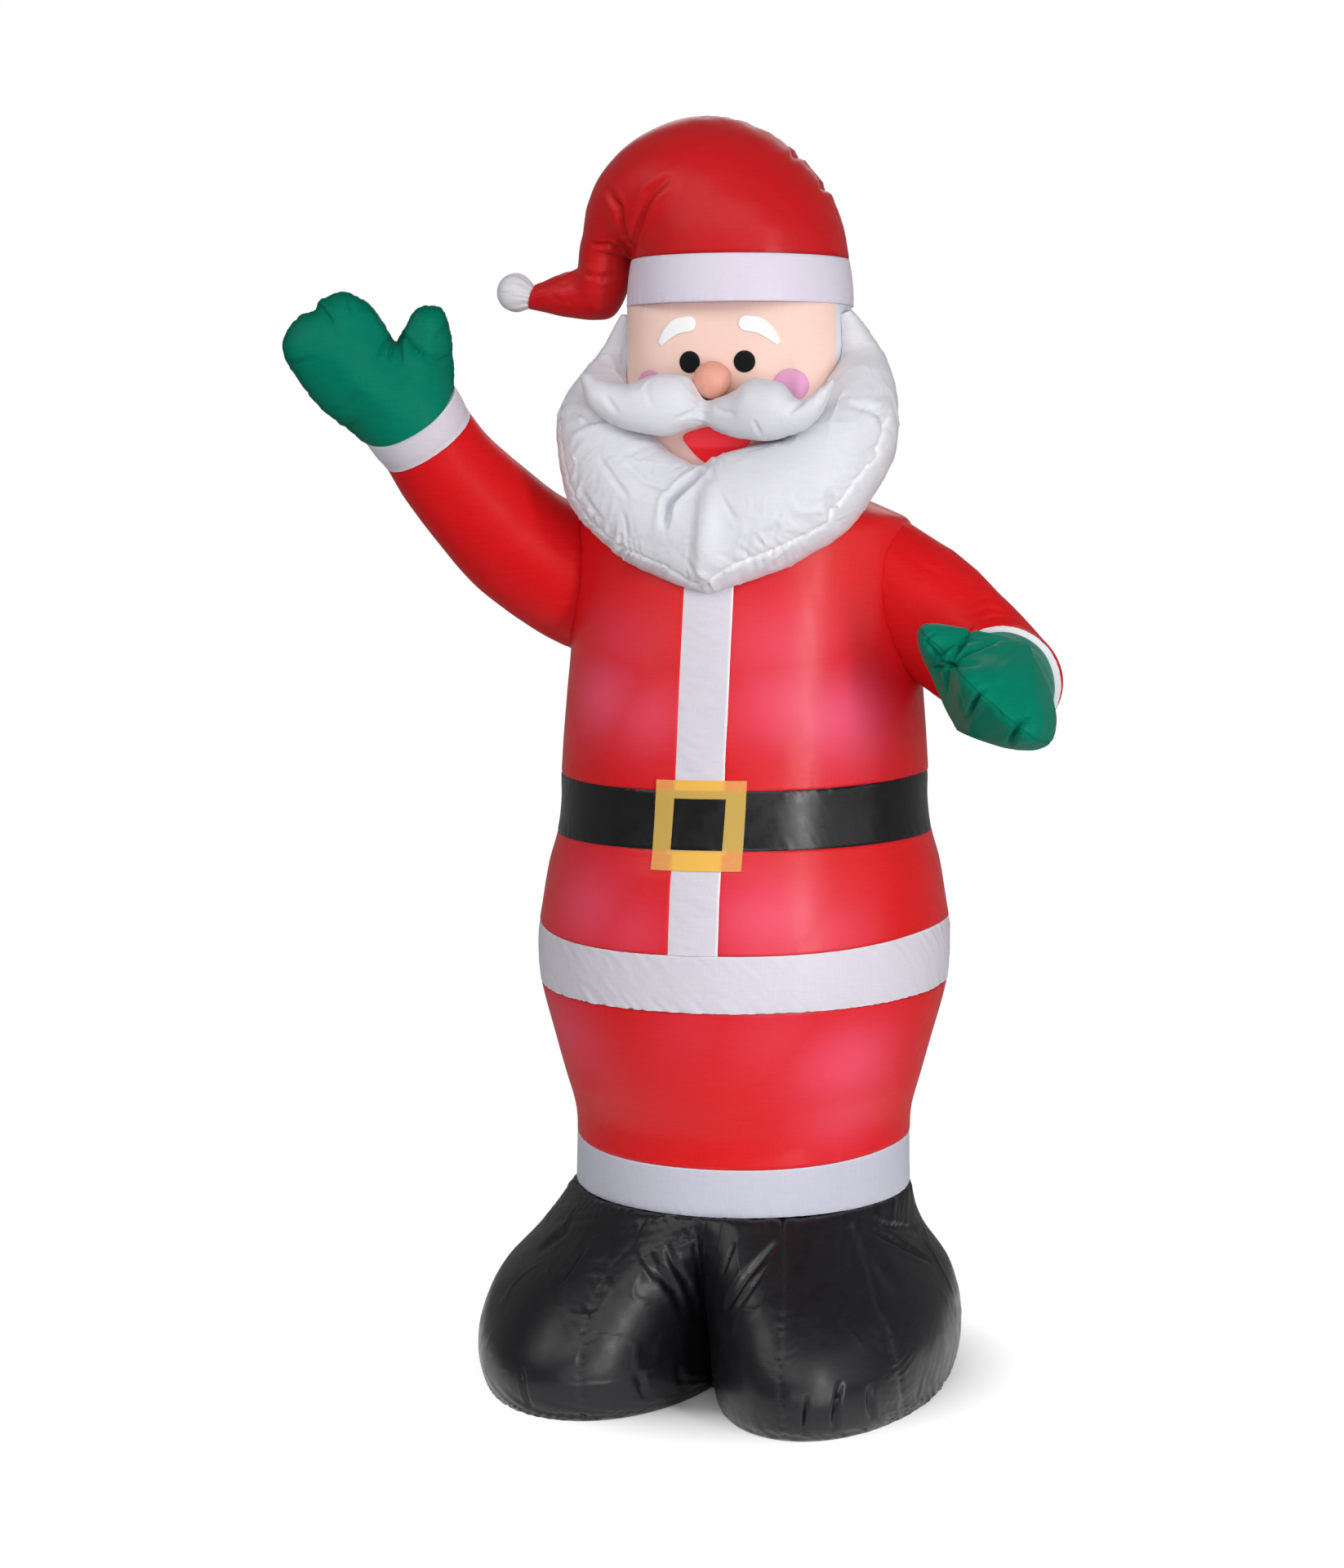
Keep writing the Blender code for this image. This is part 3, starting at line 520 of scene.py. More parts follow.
def strip_piece(name, low, high, rows, node):
    """Front strip: a flat slab on the body with cross creases and raised edges."""
    cols = 44
    t = np.linspace(-1, 1, cols)
    zs = np.linspace(low, high, rows)
    x = STRIP_X + STRIP_HALF * t[None, :] + np.zeros((rows, 1))
    z = zs[:, None] + np.zeros_like(x)
    p = np.stack([x * 0.35, np.zeros_like(x), z + 0.12 * x], -1)
    crease = 0.52 * soft_noise(p, 4.4, 3) + 0.40 * soft_noise(p, 9.5, 4)
    crease *= 0.6 + 0.4 * soft_noise(p, 40, 6)
    side = np.abs(t)[None, :]
    edge = -0.6 * np.clip((side - 0.9) / 0.1, 0, 1) ** 2
    out = 0.15 + crease * (1 - side ** 6) + edge
    front = body_front(x, z, out)
    back = body_front(x[:, ::-1], z[:, ::-1], np.full_like(x, STRIP_SUNK))
    grid = np.concatenate([front, back], 1)
    line = np.exp(-((1 - side) * STRIP_HALF / 1.1) ** 2) + np.zeros_like(x)
    marks = {"seam": np.concatenate([line, np.zeros_like(line)], 1)}
    dress(skin(name, grid, marks, 50), WHITE, node)


strip_piece("strip_upper", BELT_TOP + 2 * EDGE, STRIP_TOP, 260, "placket_upper")
strip_piece("strip_lower", HEM_TOP + 2 * EDGE, BELT_LOW - 2 * EDGE, 120, "placket_lower")


BUCKLE_STEPS = 30
BUCKLE_ACROSS = 9
BUCKLE_TOP = 1.15
BUCKLE_UNDER = 0.45


def buckle_piece():
    """Square frame of four thin folded strips laid on the belt."""
    steps = np.arange(BUCKLE_STEPS) / BUCKLE_STEPS
    ones = np.ones(BUCKLE_STEPS)
    u = np.concatenate([steps, ones, ones - steps, 0 * ones])
    v = np.concatenate([0 * ones, steps, ones, ones - steps])
    s = np.linspace(0, 1, BUCKLE_ACROSS)[:, None]
    half = BUCKLE_HALF + (BUCKLE_HOLE - BUCKLE_HALF) * s
    low, high = (outer + (inner - outer) * s for outer, inner in zip(BUCKLE_Z, BUCKLE_HOLE_Z))
    x = STRIP_X + 1.5 * (v - 0.5) + half * (2 * u - 1)
    z = low + (high - low) * v
    p = np.stack([x, x * 0, z], -1)
    wob = 0.12 * soft_noise(p, 6, 8) + 0.10 * soft_noise(p, 2.5, 9)
    fold_line = 0.25 * np.exp(-((s - 0.93) / 0.06) ** 2) + 0.2 * np.exp(-((s - 0.05) / 0.05) ** 2)
    top = body_front(x, z, BUCKLE_TOP + wob + fold_line)
    under = body_front(x[::-1], z[::-1], np.full_like(x, BUCKLE_UNDER))
    grid = np.concatenate([top, under], 0).transpose(1, 0, 2)
    on_strip = 1 / (1 + np.exp((np.abs(x - STRIP_X) - STRIP_HALF) * 3))
    on_belt = 1 / (1 + np.exp((np.abs(z - (BELT_LOW + BELT_TOP) / 2) - (BELT_TOP - BELT_LOW) / 2) * 3))
    both = {"over_white": on_strip * (1 - on_belt), "over_black": on_belt,
            "seam": fold_line / 0.3 * np.ones_like(x) * (s > 0.5)}
    marks = {k: np.clip(np.concatenate([v, v[::-1]], 0).T.reshape(-1), 0, 1) for k, v in both.items()}
    rows, cols = grid.shape[:2]
    i = np.arange(rows)[:, None] * cols
    j = (i + cols) % (rows * cols)
    c = np.arange(cols)
    d = (c + 1) % cols
    quads = np.stack([i + c, j + c, j + d, i + d], -1).reshape(-1, 4)
    obj = closed_mesh("buckle_frame", grid.reshape(-1, 3), quads.tolist(), marks, 50)
    dress(obj, GOLD, "buckle")


buckle_piece()


# Boots: height, half the way between both feet, half width, half depth and middle from front to back
BOOTS = (
    (0, 91.7, 93.3, 158.3, -31.7), (3.3, 94.2, 96.1, 166.7, -31.7), (13.9, 95.8, 98.9, 175, -31.7),
    (33.3, 96.1, 102.2, 180.6, -30.6), (55.6, 93.3, 103.3, 177.8, -26.7),
    (83.3, 83.3, 102.8, 166.7, -19.4), (111.1, 62.8, 100, 151.1, -11.1),
    (133.3, 36.7, 110, 138.9, -4.4), (145.6, 12.2, 126.7, 135.3, -1.1), (150, 0, 134.7, 134.7, 0),
)
# Least reach from the middle in front, at the cleft, and behind; then shares of the reach in depth
BOOT_CLEFT = 52.0
BOOT_HEEL = 100.0
BOOT_FRONT = 1.035
BOOT_BACK = 0.90
# The right boot is narrower by this share, from this far under the cuff on
BOOT_NARROW = 0.085
BOOT_NARROW_DROP = 44.0


def boots_grid(rows=92, cols=700):
    """Outline of both feet, each an ellipse, joined in one bag with a cleft in front."""
    z = CUFF_LOW * np.linspace(0, 1, rows) ** 1.15
    z[-1] = CUFF_LOW - EDGE
    offset, wide, deep, cy = [v[:, None] for v in spread(BOOTS, z).T]
    a = turns(cols) - pi / 2
    best = np.zeros((rows, cols))
    for side in (-1, 1):
        qa = np.cos(a) ** 2 / wide ** 2 + np.sin(a) ** 2 / deep ** 2
        qb = -2 * side * offset * np.cos(a) / wide ** 2
        qc = (offset / wide) ** 2 - 1
        d = qb * qb - 4 * qa * qc
        r = np.where(d > 0, (-qb + np.sqrt(np.maximum(d, 0))) / (2 * qa), 0)
        best = np.maximum(best, r)
    front = np.sin(a) < 0
    reach = np.maximum(best, np.where(front, BOOT_CLEFT, BOOT_HEEL))
    x = reach * np.cos(a)
    drop_share = np.clip((CUFF_LOW - z[:, None]) / BOOT_NARROW_DROP, 0, 1)
    x = np.where(x > 0, x * (1 - BOOT_NARROW * drop_share * (2 - drop_share)), x)
    y = cy + np.where(front, BOOT_FRONT, BOOT_BACK) * reach * np.sin(a)
    return np.stack([x, y, z[:, None] + np.zeros_like(x)], -1)


# Sewn lines and folds on the front of the boots, by x and z as seen from there
BOOT_SEAMS = (
    ((-46, 141), (-48.5, 129), (-60, 117), (-70, 92), (-73, 71), (-72, 36), (-73, 5)),
    ((64, 149), (65, 144), (73, 118), (77, 102), (80, 77), (84, 45), (86, 20), (86, 2)),
    ((110, 141), (127, 113), (150, 73), (161, 43), (162, 18), (162, 2)),
)
BOOT_NOTCH = ((-2, 143), (-1, 120), (0, 80), (0, 52))
BOOT_FOLDS = (
    (((-38, 129), (-14, 93), (-8, 64)), 5.0, 2.6),
    (((-42, 126), (-25, 103)), 3.5, 1.8),
    (((-23, 132), (-8, 98), (-3, 60)), 4.0, 2.2),
    (((64, 136), (45, 114), (30, 89)), 5.0, 2.8),
    (((63, 126), (41, 94)), 3.5, 1.8),
    (((31, 136), (24, 112)), 3.0, 1.6),
    (((126, 50), (122, 12)), 3.2, 2.6),
    (((-35, 38), (-33, 14)), 3.0, 2.0),
    (((144, 43), (145, 15)), 3.0, 2.0),
    (((-118, 45), (-112, 10)), 3.2, 1.8),
    (((-15, 40), (-13, 8)), 3.0, 1.8),
    (((104, 42), (101, 8)), 3.0, 1.8),
    (((124, 124), (151, 93)), 4.5, 1.8),
    (((-109, 131), (-135, 110)), 4.5, 1.8),
    (((-88, 126), (-104, 95)), 5.0, 1.8),
)
# Folds at the sides and behind, by x, y and z
BOOT_SIDE_FOLDS = (
    (((115, -83, 143), (133, -56, 133), (146, -8, 119)), 4.0, 1.8),
    (((119, -84, 137), (140, -57, 121), (159, -22, 97)), 4.5, 2.2),
    (((-60, 110, 130), (-90, 125, 90), (-100, 130, 60)), 5.0, 2.0),
    (((60, 110, 132), (84, 120, 95), (92, 125, 60)), 5.0, 2.0),
)


def boots_piece():
    grid = boots_grid()
    n = outward(grid)
    run = np.cumsum(np.linalg.norm(np.roll(grid, -1, 1) - grid, axis=2), 1)
    z = grid[..., 2].copy()
    lift = seam(run, z, 24, 13, 2.4, 5, groove=0.0) + seam(run, z, 8, 11, 1.6, 6, groove=0.0)
    lift += seam(run, CUFF_LOW - z, 8, 12, 0.7, 7, groove=0.6) + seam(run, CUFF_LOW - z, 21, 24, 1.0, 4, 0)
    lift += 0.7 * soft_noise(grid, 46, 8) + 0.8 * creases(grid, 26, 10)
    thread = np.zeros_like(lift)
    near = np.clip(-2.5 * n[..., 1], 0, 1)
    for k, path in enumerate(BOOT_SEAMS + (BOOT_NOTCH,)):
        more, mark = line_seam(seen(grid), path, 4.5, 5.5, 1.1, 12 + k, groove=1.0, slant=0.6)
        lift += more * near
        thread = np.maximum(thread, mark * near)
    for k, share in enumerate(SEAMS_BEHIND):
        hidden = grid[::8, int(grid.shape[1] * share)]
        more, mark = line_seam(grid, hidden, 6, 6, 0.7, 22 + k, groove=1.3, slant=0.5)
        lift += more
        thread = np.maximum(thread, mark)
    add_folds(lift, seen(grid), BOOT_FOLDS, 0.8, 1.4, near)
    add_folds(lift, grid, BOOT_SIDE_FOLDS, deep=1.5)
    lift *= np.clip(z / 6.0, 0, 1)
    grid = grid + n * lift[..., None]
    grid[..., 2] = np.maximum(grid[..., 2], 0.0)
    grid[0, :, 2] = 0.0
    dress(skin("boots_blown", grid, {"seam": thread * 0.8}), BOOT, "boots")


boots_piece()


# Arms: the raised arm's path as x, y, z and radius, its cuff from the seam on
RAISED_PATH = ((-100, 12, 618, 52), (-131, -7, 631, 53.5), (-172, -37, 660, 49.5),
               (-198, -62, 691, 45.5), (-217.6, -82, 718.5, 41.5), (-230.5, -96.5, 743, 39.3),
               (-235.5, -104, 753.5, 40.5), (-240, -111, 763.6, 41))
RAISED_SEAM = 5
RAISED_TIP = (-292, -157, 857)
SHOULDER = (136, -6, 620)
ELBOW = (214, 4, 556)
BENT_END = (221.5, -89, 560.5)
ELBOW_BEND = 48.0
ELBOW_RADIUS = 42.5
BENT_SEAM = 70.0
BENT_TIP = (221.5, -205, 568)
# Radii of the bent sleeve at its root, once full and at the elbow
BENT_RADII = (43.0, 49.5, 46.5)
SHOULDER_REACH = 48.0
# Share of the body's radius at which a sleeve starts
SLEEVE_START = 0.995
WRIST_RADIUS = 39.5
CUFF_FLARE = 5.0
SLEEVE_ROWS = 110
TUBE_COLS = 200


def raised_stations():
    """Stations of the raised arm up to the cuff seam, then the cuff's."""
    table = [(k, *p) for k, p in enumerate(RAISED_PATH)]
    last = len(RAISED_PATH) - 1
    return [[(Vector(catmull(table, t)[:3]), heading(table, t, 0.05), catmull(table, t)[3]) for t in places]
            for places in (np.linspace(0, RAISED_SEAM, 90), np.linspace(RAISED_SEAM, last, 22))]


def bent_stations():
    """Straight upper arm, a round bend at the elbow, straight forearm; then the cuff's."""
    shoulder = Vector(SHOULDER)
    corner = Vector(ELBOW)
    end = Vector(BENT_END)
    upper = (corner - shoulder).normalized()
    fore = (end - corner).normalized()
    turn = upper.angle(fore)
    tangent = ELBOW_BEND * sin(turn / 2) / cos(turn / 2)
    hub = corner + (fore - upper).normalized() * (ELBOW_BEND / cos(turn / 2))
    start = corner - upper * tangent
    stop = corner + fore * tangent
    seam_at = corner + fore * BENT_SEAM
    root, full, bend = BENT_RADII
    first = shoulder - upper * SHOULDER_REACH
    rows = []
    for t in np.linspace(0, 1, 50):
        p = first.lerp(start, t)
        grown = min(1.0, (p - first).length / SHOULDER_REACH)
        rows.append((p, upper, root + (full - root) * grown - (full - bend) * max(0.0, (t - 0.75) / 0.25)))
    for t in np.linspace(0, 1, 34)[1:]:
        a = turn * t
        spoke = (start - hub) * cos(a) + upper * ELBOW_BEND * sin(a)
        along = upper * cos(a) - (start - hub).normalized() * sin(a)
        rows.append((hub + spoke, along.normalized(), bend + (ELBOW_RADIUS - bend) * min(1.0, 1.5 * t)))
    for t in np.linspace(0, 1, 14)[1:]:
        rows.append((stop.lerp(seam_at, t), fore, ELBOW_RADIUS + (WRIST_RADIUS - ELBOW_RADIUS) * t))
    cuff = [(seam_at.lerp(end, t), fore, WRIST_RADIUS + CUFF_FLARE * t) for t in np.linspace(0, 1, 22)]
    return rows, cuff


def tube(stations):
    a = turns(TUBE_COLS)
    grid = np.empty((len(stations), TUBE_COLS, 3))
    for k, (centre, along, r) in enumerate(stations):
        side = along.cross(Vector((0, -0.55, 0.83))).normalized()
        up = side.cross(along)
        grid[k] = (np.array(centre) + r * np.cos(a)[:, None] * np.array(side)
                   + r * np.sin(a)[:, None] * np.array(up))
    return grid


def from_body(grid, rows):
    """Start every column of a sleeve where it leaves the body."""
    share = body_share(grid)
    total, cols = share.shape
    made = np.empty((rows, cols, 3))
    for c in range(cols):
        inside = np.nonzero(share[:, c] < SLEEVE_START)[0]
        k = min(int(inside[-1]) if len(inside) else 0, total - 2)
        s0 = share[k, c]
        s1 = share[k + 1, c]
        start = k + (SLEEVE_START - s0) / (s1 - s0) if s1 > s0 else k
        at = start + (total - 1 - start) * np.linspace(0, 1, rows)
        for axis in range(3):
            made[:, c, axis] = np.interp(at, np.arange(total), grid[:, c, axis])
    return made


def sleeve_piece(side, stations, folds, seed):
    grid = from_body(tube(stations), SLEEVE_ROWS)
    far, left = row_distances(grid)
    u = turns(TUBE_COLS) * SLEEVE_GIRTH + np.zeros_like(far)
    lift = seam(u, far, 9, 10, 0.7, seed) + seam(u, left, 7, 7, 0.45, seed + 1)
    lift += 0.45 * soft_noise(grid, 36, seed + 2) + 0.12 * soft_noise(grid, 14, seed + 3)
    add_folds(lift, grid, folds)
    grid = displaced(grid, lift)
    # The sleeves show the painted lamp light more weakly, and their seams' threads
    marks = {"glow": 0.6 * glow_at(grid), "seam": threads(far, left, 0.8, 1.2)}
    dress(skin("sleeve_" + side + "_blown", grid, marks), SLEEVE_RED, "sleeve_" + side)


def cuff_piece(side, stations, seed):
    grid = tube(stations)
    far, left = row_distances(grid)
    u = turns(TUBE_COLS) * CUFF_GIRTH + np.zeros_like(far)
    lift = seam(u, far, 7, 6, 0.4, seed) + seam(u, left, 7, 6, 0.4, seed + 1)
    lift += 0.25 * soft_noise(grid, 30, seed)
    marks = {"seam": threads(far, left, 0.6)}
    dress(skin("cuff_" + side + "_blown", displaced(grid, lift), marks), WHITE,
          "cuff_" + side)


raised, raised_cuff = raised_stations()
bent, bent_cuff = bent_stations()
sleeve_piece("raised", raised, (), 71)
sleeve_piece("bent", bent, (
    (((184, -44, 608), (202, -26, 615), (222, -12, 608)), 4.0, 1.6),
    (((190, -42, 605), (209, -27, 609), (228, -15, 596)), 3.0, 1.3),
    (((181, -44, 611), (194, -31, 621), (205, -15, 628)), 3.0, 1.0),
    (((150, -46, 650), (166, -40, 640)), 4.0, 1.0),
), 81)
cuff_piece("raised", raised_cuff, 91)
cuff_piece("bent", bent_cuff, 95)

# Plan of a mitten: angle round its heart, reach from it
MITTEN_HEART = (30.0, 2.0)
MITTEN_PLAN = (
    (-2.60, 54), (-2.17, 52.6), (-1.90, 50.5), (-1.58, 52.9), (-1.13, 63.9), (-0.88, 74.4), (-0.71, 84.8),
    (-0.60, 88), (-0.52, 87.3), (-0.32, 84.6), (-0.21, 79.8), (-0.10, 82.5), (0.00, 80.4), (0.10, 79),
    (0.19, 73.8), (0.33, 61.8), (0.49, 46.5), (0.62, 37), (0.76, 31.5), (0.84, 40), (0.89, 50),
    (0.94, 58.5), (1.02, 64.5), (1.08, 66.9), (1.16, 69.2), (1.24, 69.1), (1.34, 65.5), (1.45, 61.3),
    (1.75, 53.5), (2.16, 49.5), (2.60, 50), (3.14, 50), (3.683, 54),
)
# Angle between the thumb and the hand
CROTCH = 0.76
MITTEN_WRIST = 41.5
MITTEN_COLS = 260
MITTEN_HALF_ROWS = 34
MITTEN_SMOOTHINGS = 12


def mitten_reach(angle, fill):
    """Reach of the plan; fill draws the notch beside the thumb shut."""
    turned = (np.asarray(angle) + 2.60) % (2 * pi) - 2.60
    return spread(MITTEN_PLAN, turned)[:, 0] + fill * np.exp(-((turned - 0.70) / 0.22) ** 2)


def mitten_thick(along, across, outline):
    """Half thickness: a pillow in the hand, round at the wrist."""
    p = np.stack([along, across, along * 0], -1)
    gap = line_distance(p, outline)[0]
    pillow = 5.5 * np.sqrt(gap) * (1 + 0.12 * np.clip(1 - along / 50, 0, 1))
    pillow *= 1 - 0.28 * np.clip((across - 15) / 45, 0, 1)
    pillow *= np.sqrt(np.maximum(0.1, 1 - (np.clip(along - 18, 0, 99) / 104) ** 2))
    round_wrist = np.sqrt(np.maximum(0, MITTEN_WRIST ** 2 - across ** 2))
    wrist = np.clip((34 - along) / 34, 0, 1)
    wrist = wrist * wrist * (3 - 2 * wrist) * np.clip(gap / 6, 0, 1)
    return pillow + (round_wrist - pillow) * wrist


def cut_flat(obj, at, way):
    """Cut a piece flat and close the cut."""
    bm = bmesh.new()
    bm.from_mesh(obj.data)
    result = bmesh.ops.bisect_plane(bm, geom=bm.verts[:] + bm.edges[:] + bm.faces[:],
                                    plane_co=at * UNIT, plane_no=way, clear_outer=True)
    edges = [e for e in result["geom_cut"] if isinstance(e, bmesh.types.BMEdge)]
    bmesh.ops.contextual_create(bm, geom=edges)
    bmesh.ops.recalc_face_normals(bm, faces=bm.faces)
    bm.to_mesh(obj.data)
    bm.free()
    obj.data.shade_smooth()
    obj.data.set_sharp_from_angle(angle=radians(60))


def mitten_piece(side, end, tip, across_hint, folds, seed, fill=0.0, from_end=False):
    """Folds lie on the plan's near side, or are seen from the finger end: across, then thickness."""
    root, mouth_way, _ = end
    along = (Vector(tip) - root).normalized()
    across = Vector(across_hint)
    across = (across - across.dot(along) * along).normalized()
    thick = along.cross(across)
    base = root + thick * 2.0 if from_end else root
    turn = turns(MITTEN_COLS)
    angle = CROTCH + turn - 0.45 * np.sin(turn)
    reach = mitten_reach(angle, fill)
    if from_end:
        reach = reach * (1 + 0.10 * np.clip(-np.sin(angle), 0, 1))
    middle = MITTEN_HALF_ROWS - 1
    s = (np.arange(2 * middle + 1)[:, None] - middle) / MITTEN_HALF_ROWS
    share = np.cos(s * pi / 2)
    p = MITTEN_HEART[0] + reach * share * np.cos(angle)
    q = MITTEN_HEART[1] + reach * share * np.sin(angle)
    outline = np.stack([p, q, 0 * q], -1)[middle]
    t = np.sign(s) * mitten_thick(p, q, np.vstack([outline, outline[:1]]))
    for _ in range(MITTEN_SMOOTHINGS):
        t[1:-1] = (t[:-2] + 2 * t[1:-1] + t[2:]) / 4
        t = (np.roll(t, 1, 1) + 2 * t + np.roll(t, -1, 1)) / 4
    grid = (np.array(base) + p[..., None] * np.array(along) + q[..., None] * np.array(across)
            + t[..., None] * np.array(thick))
    gap = np.abs(t) + reach * (1 - share)
    rim = grid[middle]
    u = np.cumsum(np.linalg.norm(np.roll(rim, -1, 0) - rim, axis=1)) + np.zeros_like(gap)
    lift = seam(u, gap, 9, 10, 0.8, seed, groove=0.5) + seam(u, gap, 19, 13, 0.8, seed + 1, groove=0)
    lift += 0.6 * soft_noise(grid, 26, seed + 2) + 0.2 * soft_noise(grid, 11, seed + 3)
    local = grid - np.array(root)
    axes = [local @ np.array(v) for v in (along, across, thick)]
    flat = np.stack(axes[1:] if from_end else axes[:2], -1)
    add_folds(lift, flat, folds, near=axes[0] > 12 if from_end else axes[2] < 0.5)
    # Threads along the rim; the raised mitten also turns darker towards its rim, a painted shade
    marks = {"seam": np.exp(-gap ** 2) * 0.6,
             "glow": 0.75 * np.exp(-(gap / 15) ** 2) * (not from_end)}
    obj = skin("mitten_" + side + "_blown", displaced(grid, lift), marks)
    cut_flat(obj, root + mouth_way * EDGE, -mouth_way)
    dress(obj, GREEN, "mitten_" + side)


mitten_piece("raised", raised_cuff[-1], RAISED_TIP, (0.80, 0.20, 0.57), (
    (((58.6, 28.8), (57.1, 16.9), (54.6, 2.0)), 3.0, 2.6), (((58.6, 28.8), (47.8, 11.9)), 2.6, 2.4),
    (((58.6, 28.8), (39.7, 18.3)), 2.6, 2.2), (((58.6, 28.8), (44.8, 31.6), (22.4, 42.0)), 3.4, 3.4),
    (((110, -12), (106.9, -8.9), (92, -7.5)), 3.0, 2.6), (((86, -56), (83.5, -49.1), (82.3, -34)), 3.0, 2.6),
    (((36.7, -50), (36.7, -37.7), (41.9, -19.1)), 4.0, 1.6), (((20, -50), (24, -30)), 3.0, 1.4),
    (((102, 14), (90, 8)), 3.0, 1.6), (((20, 56), (24, 40)), 3.0, 1.8), (((42, 66), (40, 50)), 3.0, 1.8),
), 101)
mitten_piece("bent", bent_cuff[-1], BENT_TIP, (-0.77, 0.0, 0.64), (
    (((29, 9), (31.9, -7.5), (39.4, -22.2), (41, -27)), 3.0, 4.4),
    (((29, 9), (25.2, -10.8), (18.0, -27.2)), 2.6, 3.4), (((25, 5.7), (41.2, 7.6), (57, 4.7)), 2.6, 3.0),
    (((29, 2), (24.6, 13.8), (20.6, 22.1), (17, 28)), 2.8, 3.4),
    (((27, 3), (34.8, 13.1), (43, 21)), 2.6, 3.0),
    (((32, 9), (21.6, -2.1), (10, -12)), 2.6, 2.6), (((-6.3, 28), (-6.3, 14.9), (-5.5, -6)), 3.2, 5.6),
    (((-41.8, 22), (-42.2, 5.0), (-40.4, -12)), 3.2, 5.6), (((10, 14), (2, 20), (-2, 26)), 2.4, 2.2),
    (((-22, 2), (-30, 6)), 2.2, 1.6), (((52, 12), (56, 2), (54, -8)), 2.2, 2.0),
), 111, 24.0, True)


# Head; the power rounds the outline of its front, and the neck narrows up to that height
HEAD_POWER = 2.6
NECK_RISE = 60.0


def head_radius(z):
    share = np.clip((np.asarray(z, float) - NECK) / NECK_RISE, 0, 1)
    return 0.90 + 0.10 * np.sin(share * pi / 2)


def head_point(angle, z, out):
    s = head_radius(z)
    c = np.cos(angle)
    d = np.sin(angle)
    power = np.where(d < 0, 2.0 / HEAD_POWER, 1.0)
    deep = np.where(d < 0, HEAD_FRONT, HEAD_BACK)
    x = (HEAD_HALF * s + out) * np.abs(c) ** power * np.sign(c)
    y = HEAD_Y + (deep * s + out) * np.abs(d) ** power * np.sign(d)
    return np.stack([x, y, z + np.zeros_like(x)], -1)


def head_front(x, z):
    s = head_radius(z)
    share = np.minimum(1.0, np.abs(x) / (HEAD_HALF * s))
    return HEAD_Y - HEAD_FRONT * s * (1.0 - share ** HEAD_POWER) ** (1.0 / HEAD_POWER)


def head_grid(zs, front, out=0.0, arc=240, flat=40):
    """Rings of the face's or the back's half: an arc, then a straight line of flat points."""
    seam_y = FACE_SEAM - EDGE if front else FACE_SEAM + EDGE
    rings = []
    for z in zs:
        deep = HEAD_FRONT * float(head_radius(z)) + out
        start = asin(min(1.0, abs(seam_y - HEAD_Y) / deep) ** 1.3)
        if front:
            angle = pi + start + (pi - 2 * start) * np.linspace(0, 1, arc)
        else:
            angle = -start + (pi + 2 * start) * np.linspace(0, 1, arc)
        ring = head_point(angle, z, out)
        ring[[0, -1], 1] = seam_y
        back = ring[-1] + (ring[0] - ring[-1]) * np.linspace(0, 1, flat + 2)[1:-1, None]
        rings.append(np.vstack([ring, back]))
    return np.array(rings)


def head_piece(name, front, mat, node, seed):
    arc = 240
    length = 260
    zs = np.linspace(NECK + EDGE, BAND_LOW - EDGE, 50)
    grid = head_grid(zs, front)
    u = np.linspace(0, length, arc)[None, :] + np.zeros((len(zs), 1))
    z = zs[:, None] + np.zeros_like(u)
    side = np.minimum(u, length - u)
    body = 0.3 * soft_noise(grid[:, :arc], 40, seed) + seam(u, BAND_LOW - z, 8, 6, 0.35, seed)
    body += seam(z, side, 9, 7, 0.5, seed + 1, groove=0.4) * (side > 0.5)
    lift = np.zeros(grid.shape[:2])
    lift[:, :arc] = body * np.clip(side / 4, 0, 1)
    dress(skin(name, displaced(grid, lift)), mat, node)


head_piece("face_panel", True, SKIN, "face", 121)
head_piece("hair_panel", False, BEARD_CLOTH, "hair", 125)


# Rings of a face patch, its thickness and how far under it starts
PATCH_STEPS = 10
PATCH_THICK = 0.9
PATCH_BED = 0.40


def patch(name, outline, mat, node, shade=None):
    """Sewn-on patch that follows the face, with a rounded rim; shade says where its mark is."""
    outline = np.array(outline, float)
    heart = outline.mean(0)
    rings = [(k, PATCH_BED + 0.02 + PATCH_THICK * (1 - (k / PATCH_STEPS) ** 6))
             for k in range(PATCH_STEPS + 1)]
    rows = []
    shades = []
    for k, lift in rings + [(PATCH_STEPS, PATCH_BED), (0, PATCH_BED)]:
        s = 0.02 + 0.98 * sin(k / PATCH_STEPS * pi / 2)
        p = heart + s * (outline - heart)
        rows.append(np.stack([p[:, 0], head_front(p[:, 0], p[:, 1]) - lift, p[:, 1]], -1))
        shades.append(shade(p) if shade and lift > PATCH_BED else np.zeros(len(p)))
    dress(skin(name, np.array(rows), {"glow": np.array(shades)}, 70), mat, node)


def circle(side, x, z, r):
    a = turns(72)
    return np.stack([side * x + r * np.cos(a), z + r * np.sin(a)], -1)


BROW = ((0.0, 22.6, 831.0, 6.0), (0.4, 33.0, 829.0, 5.9), (0.75, 41.2, 822.8, 4.4),
        (1.0, 47.0, 815.8, 2.0))


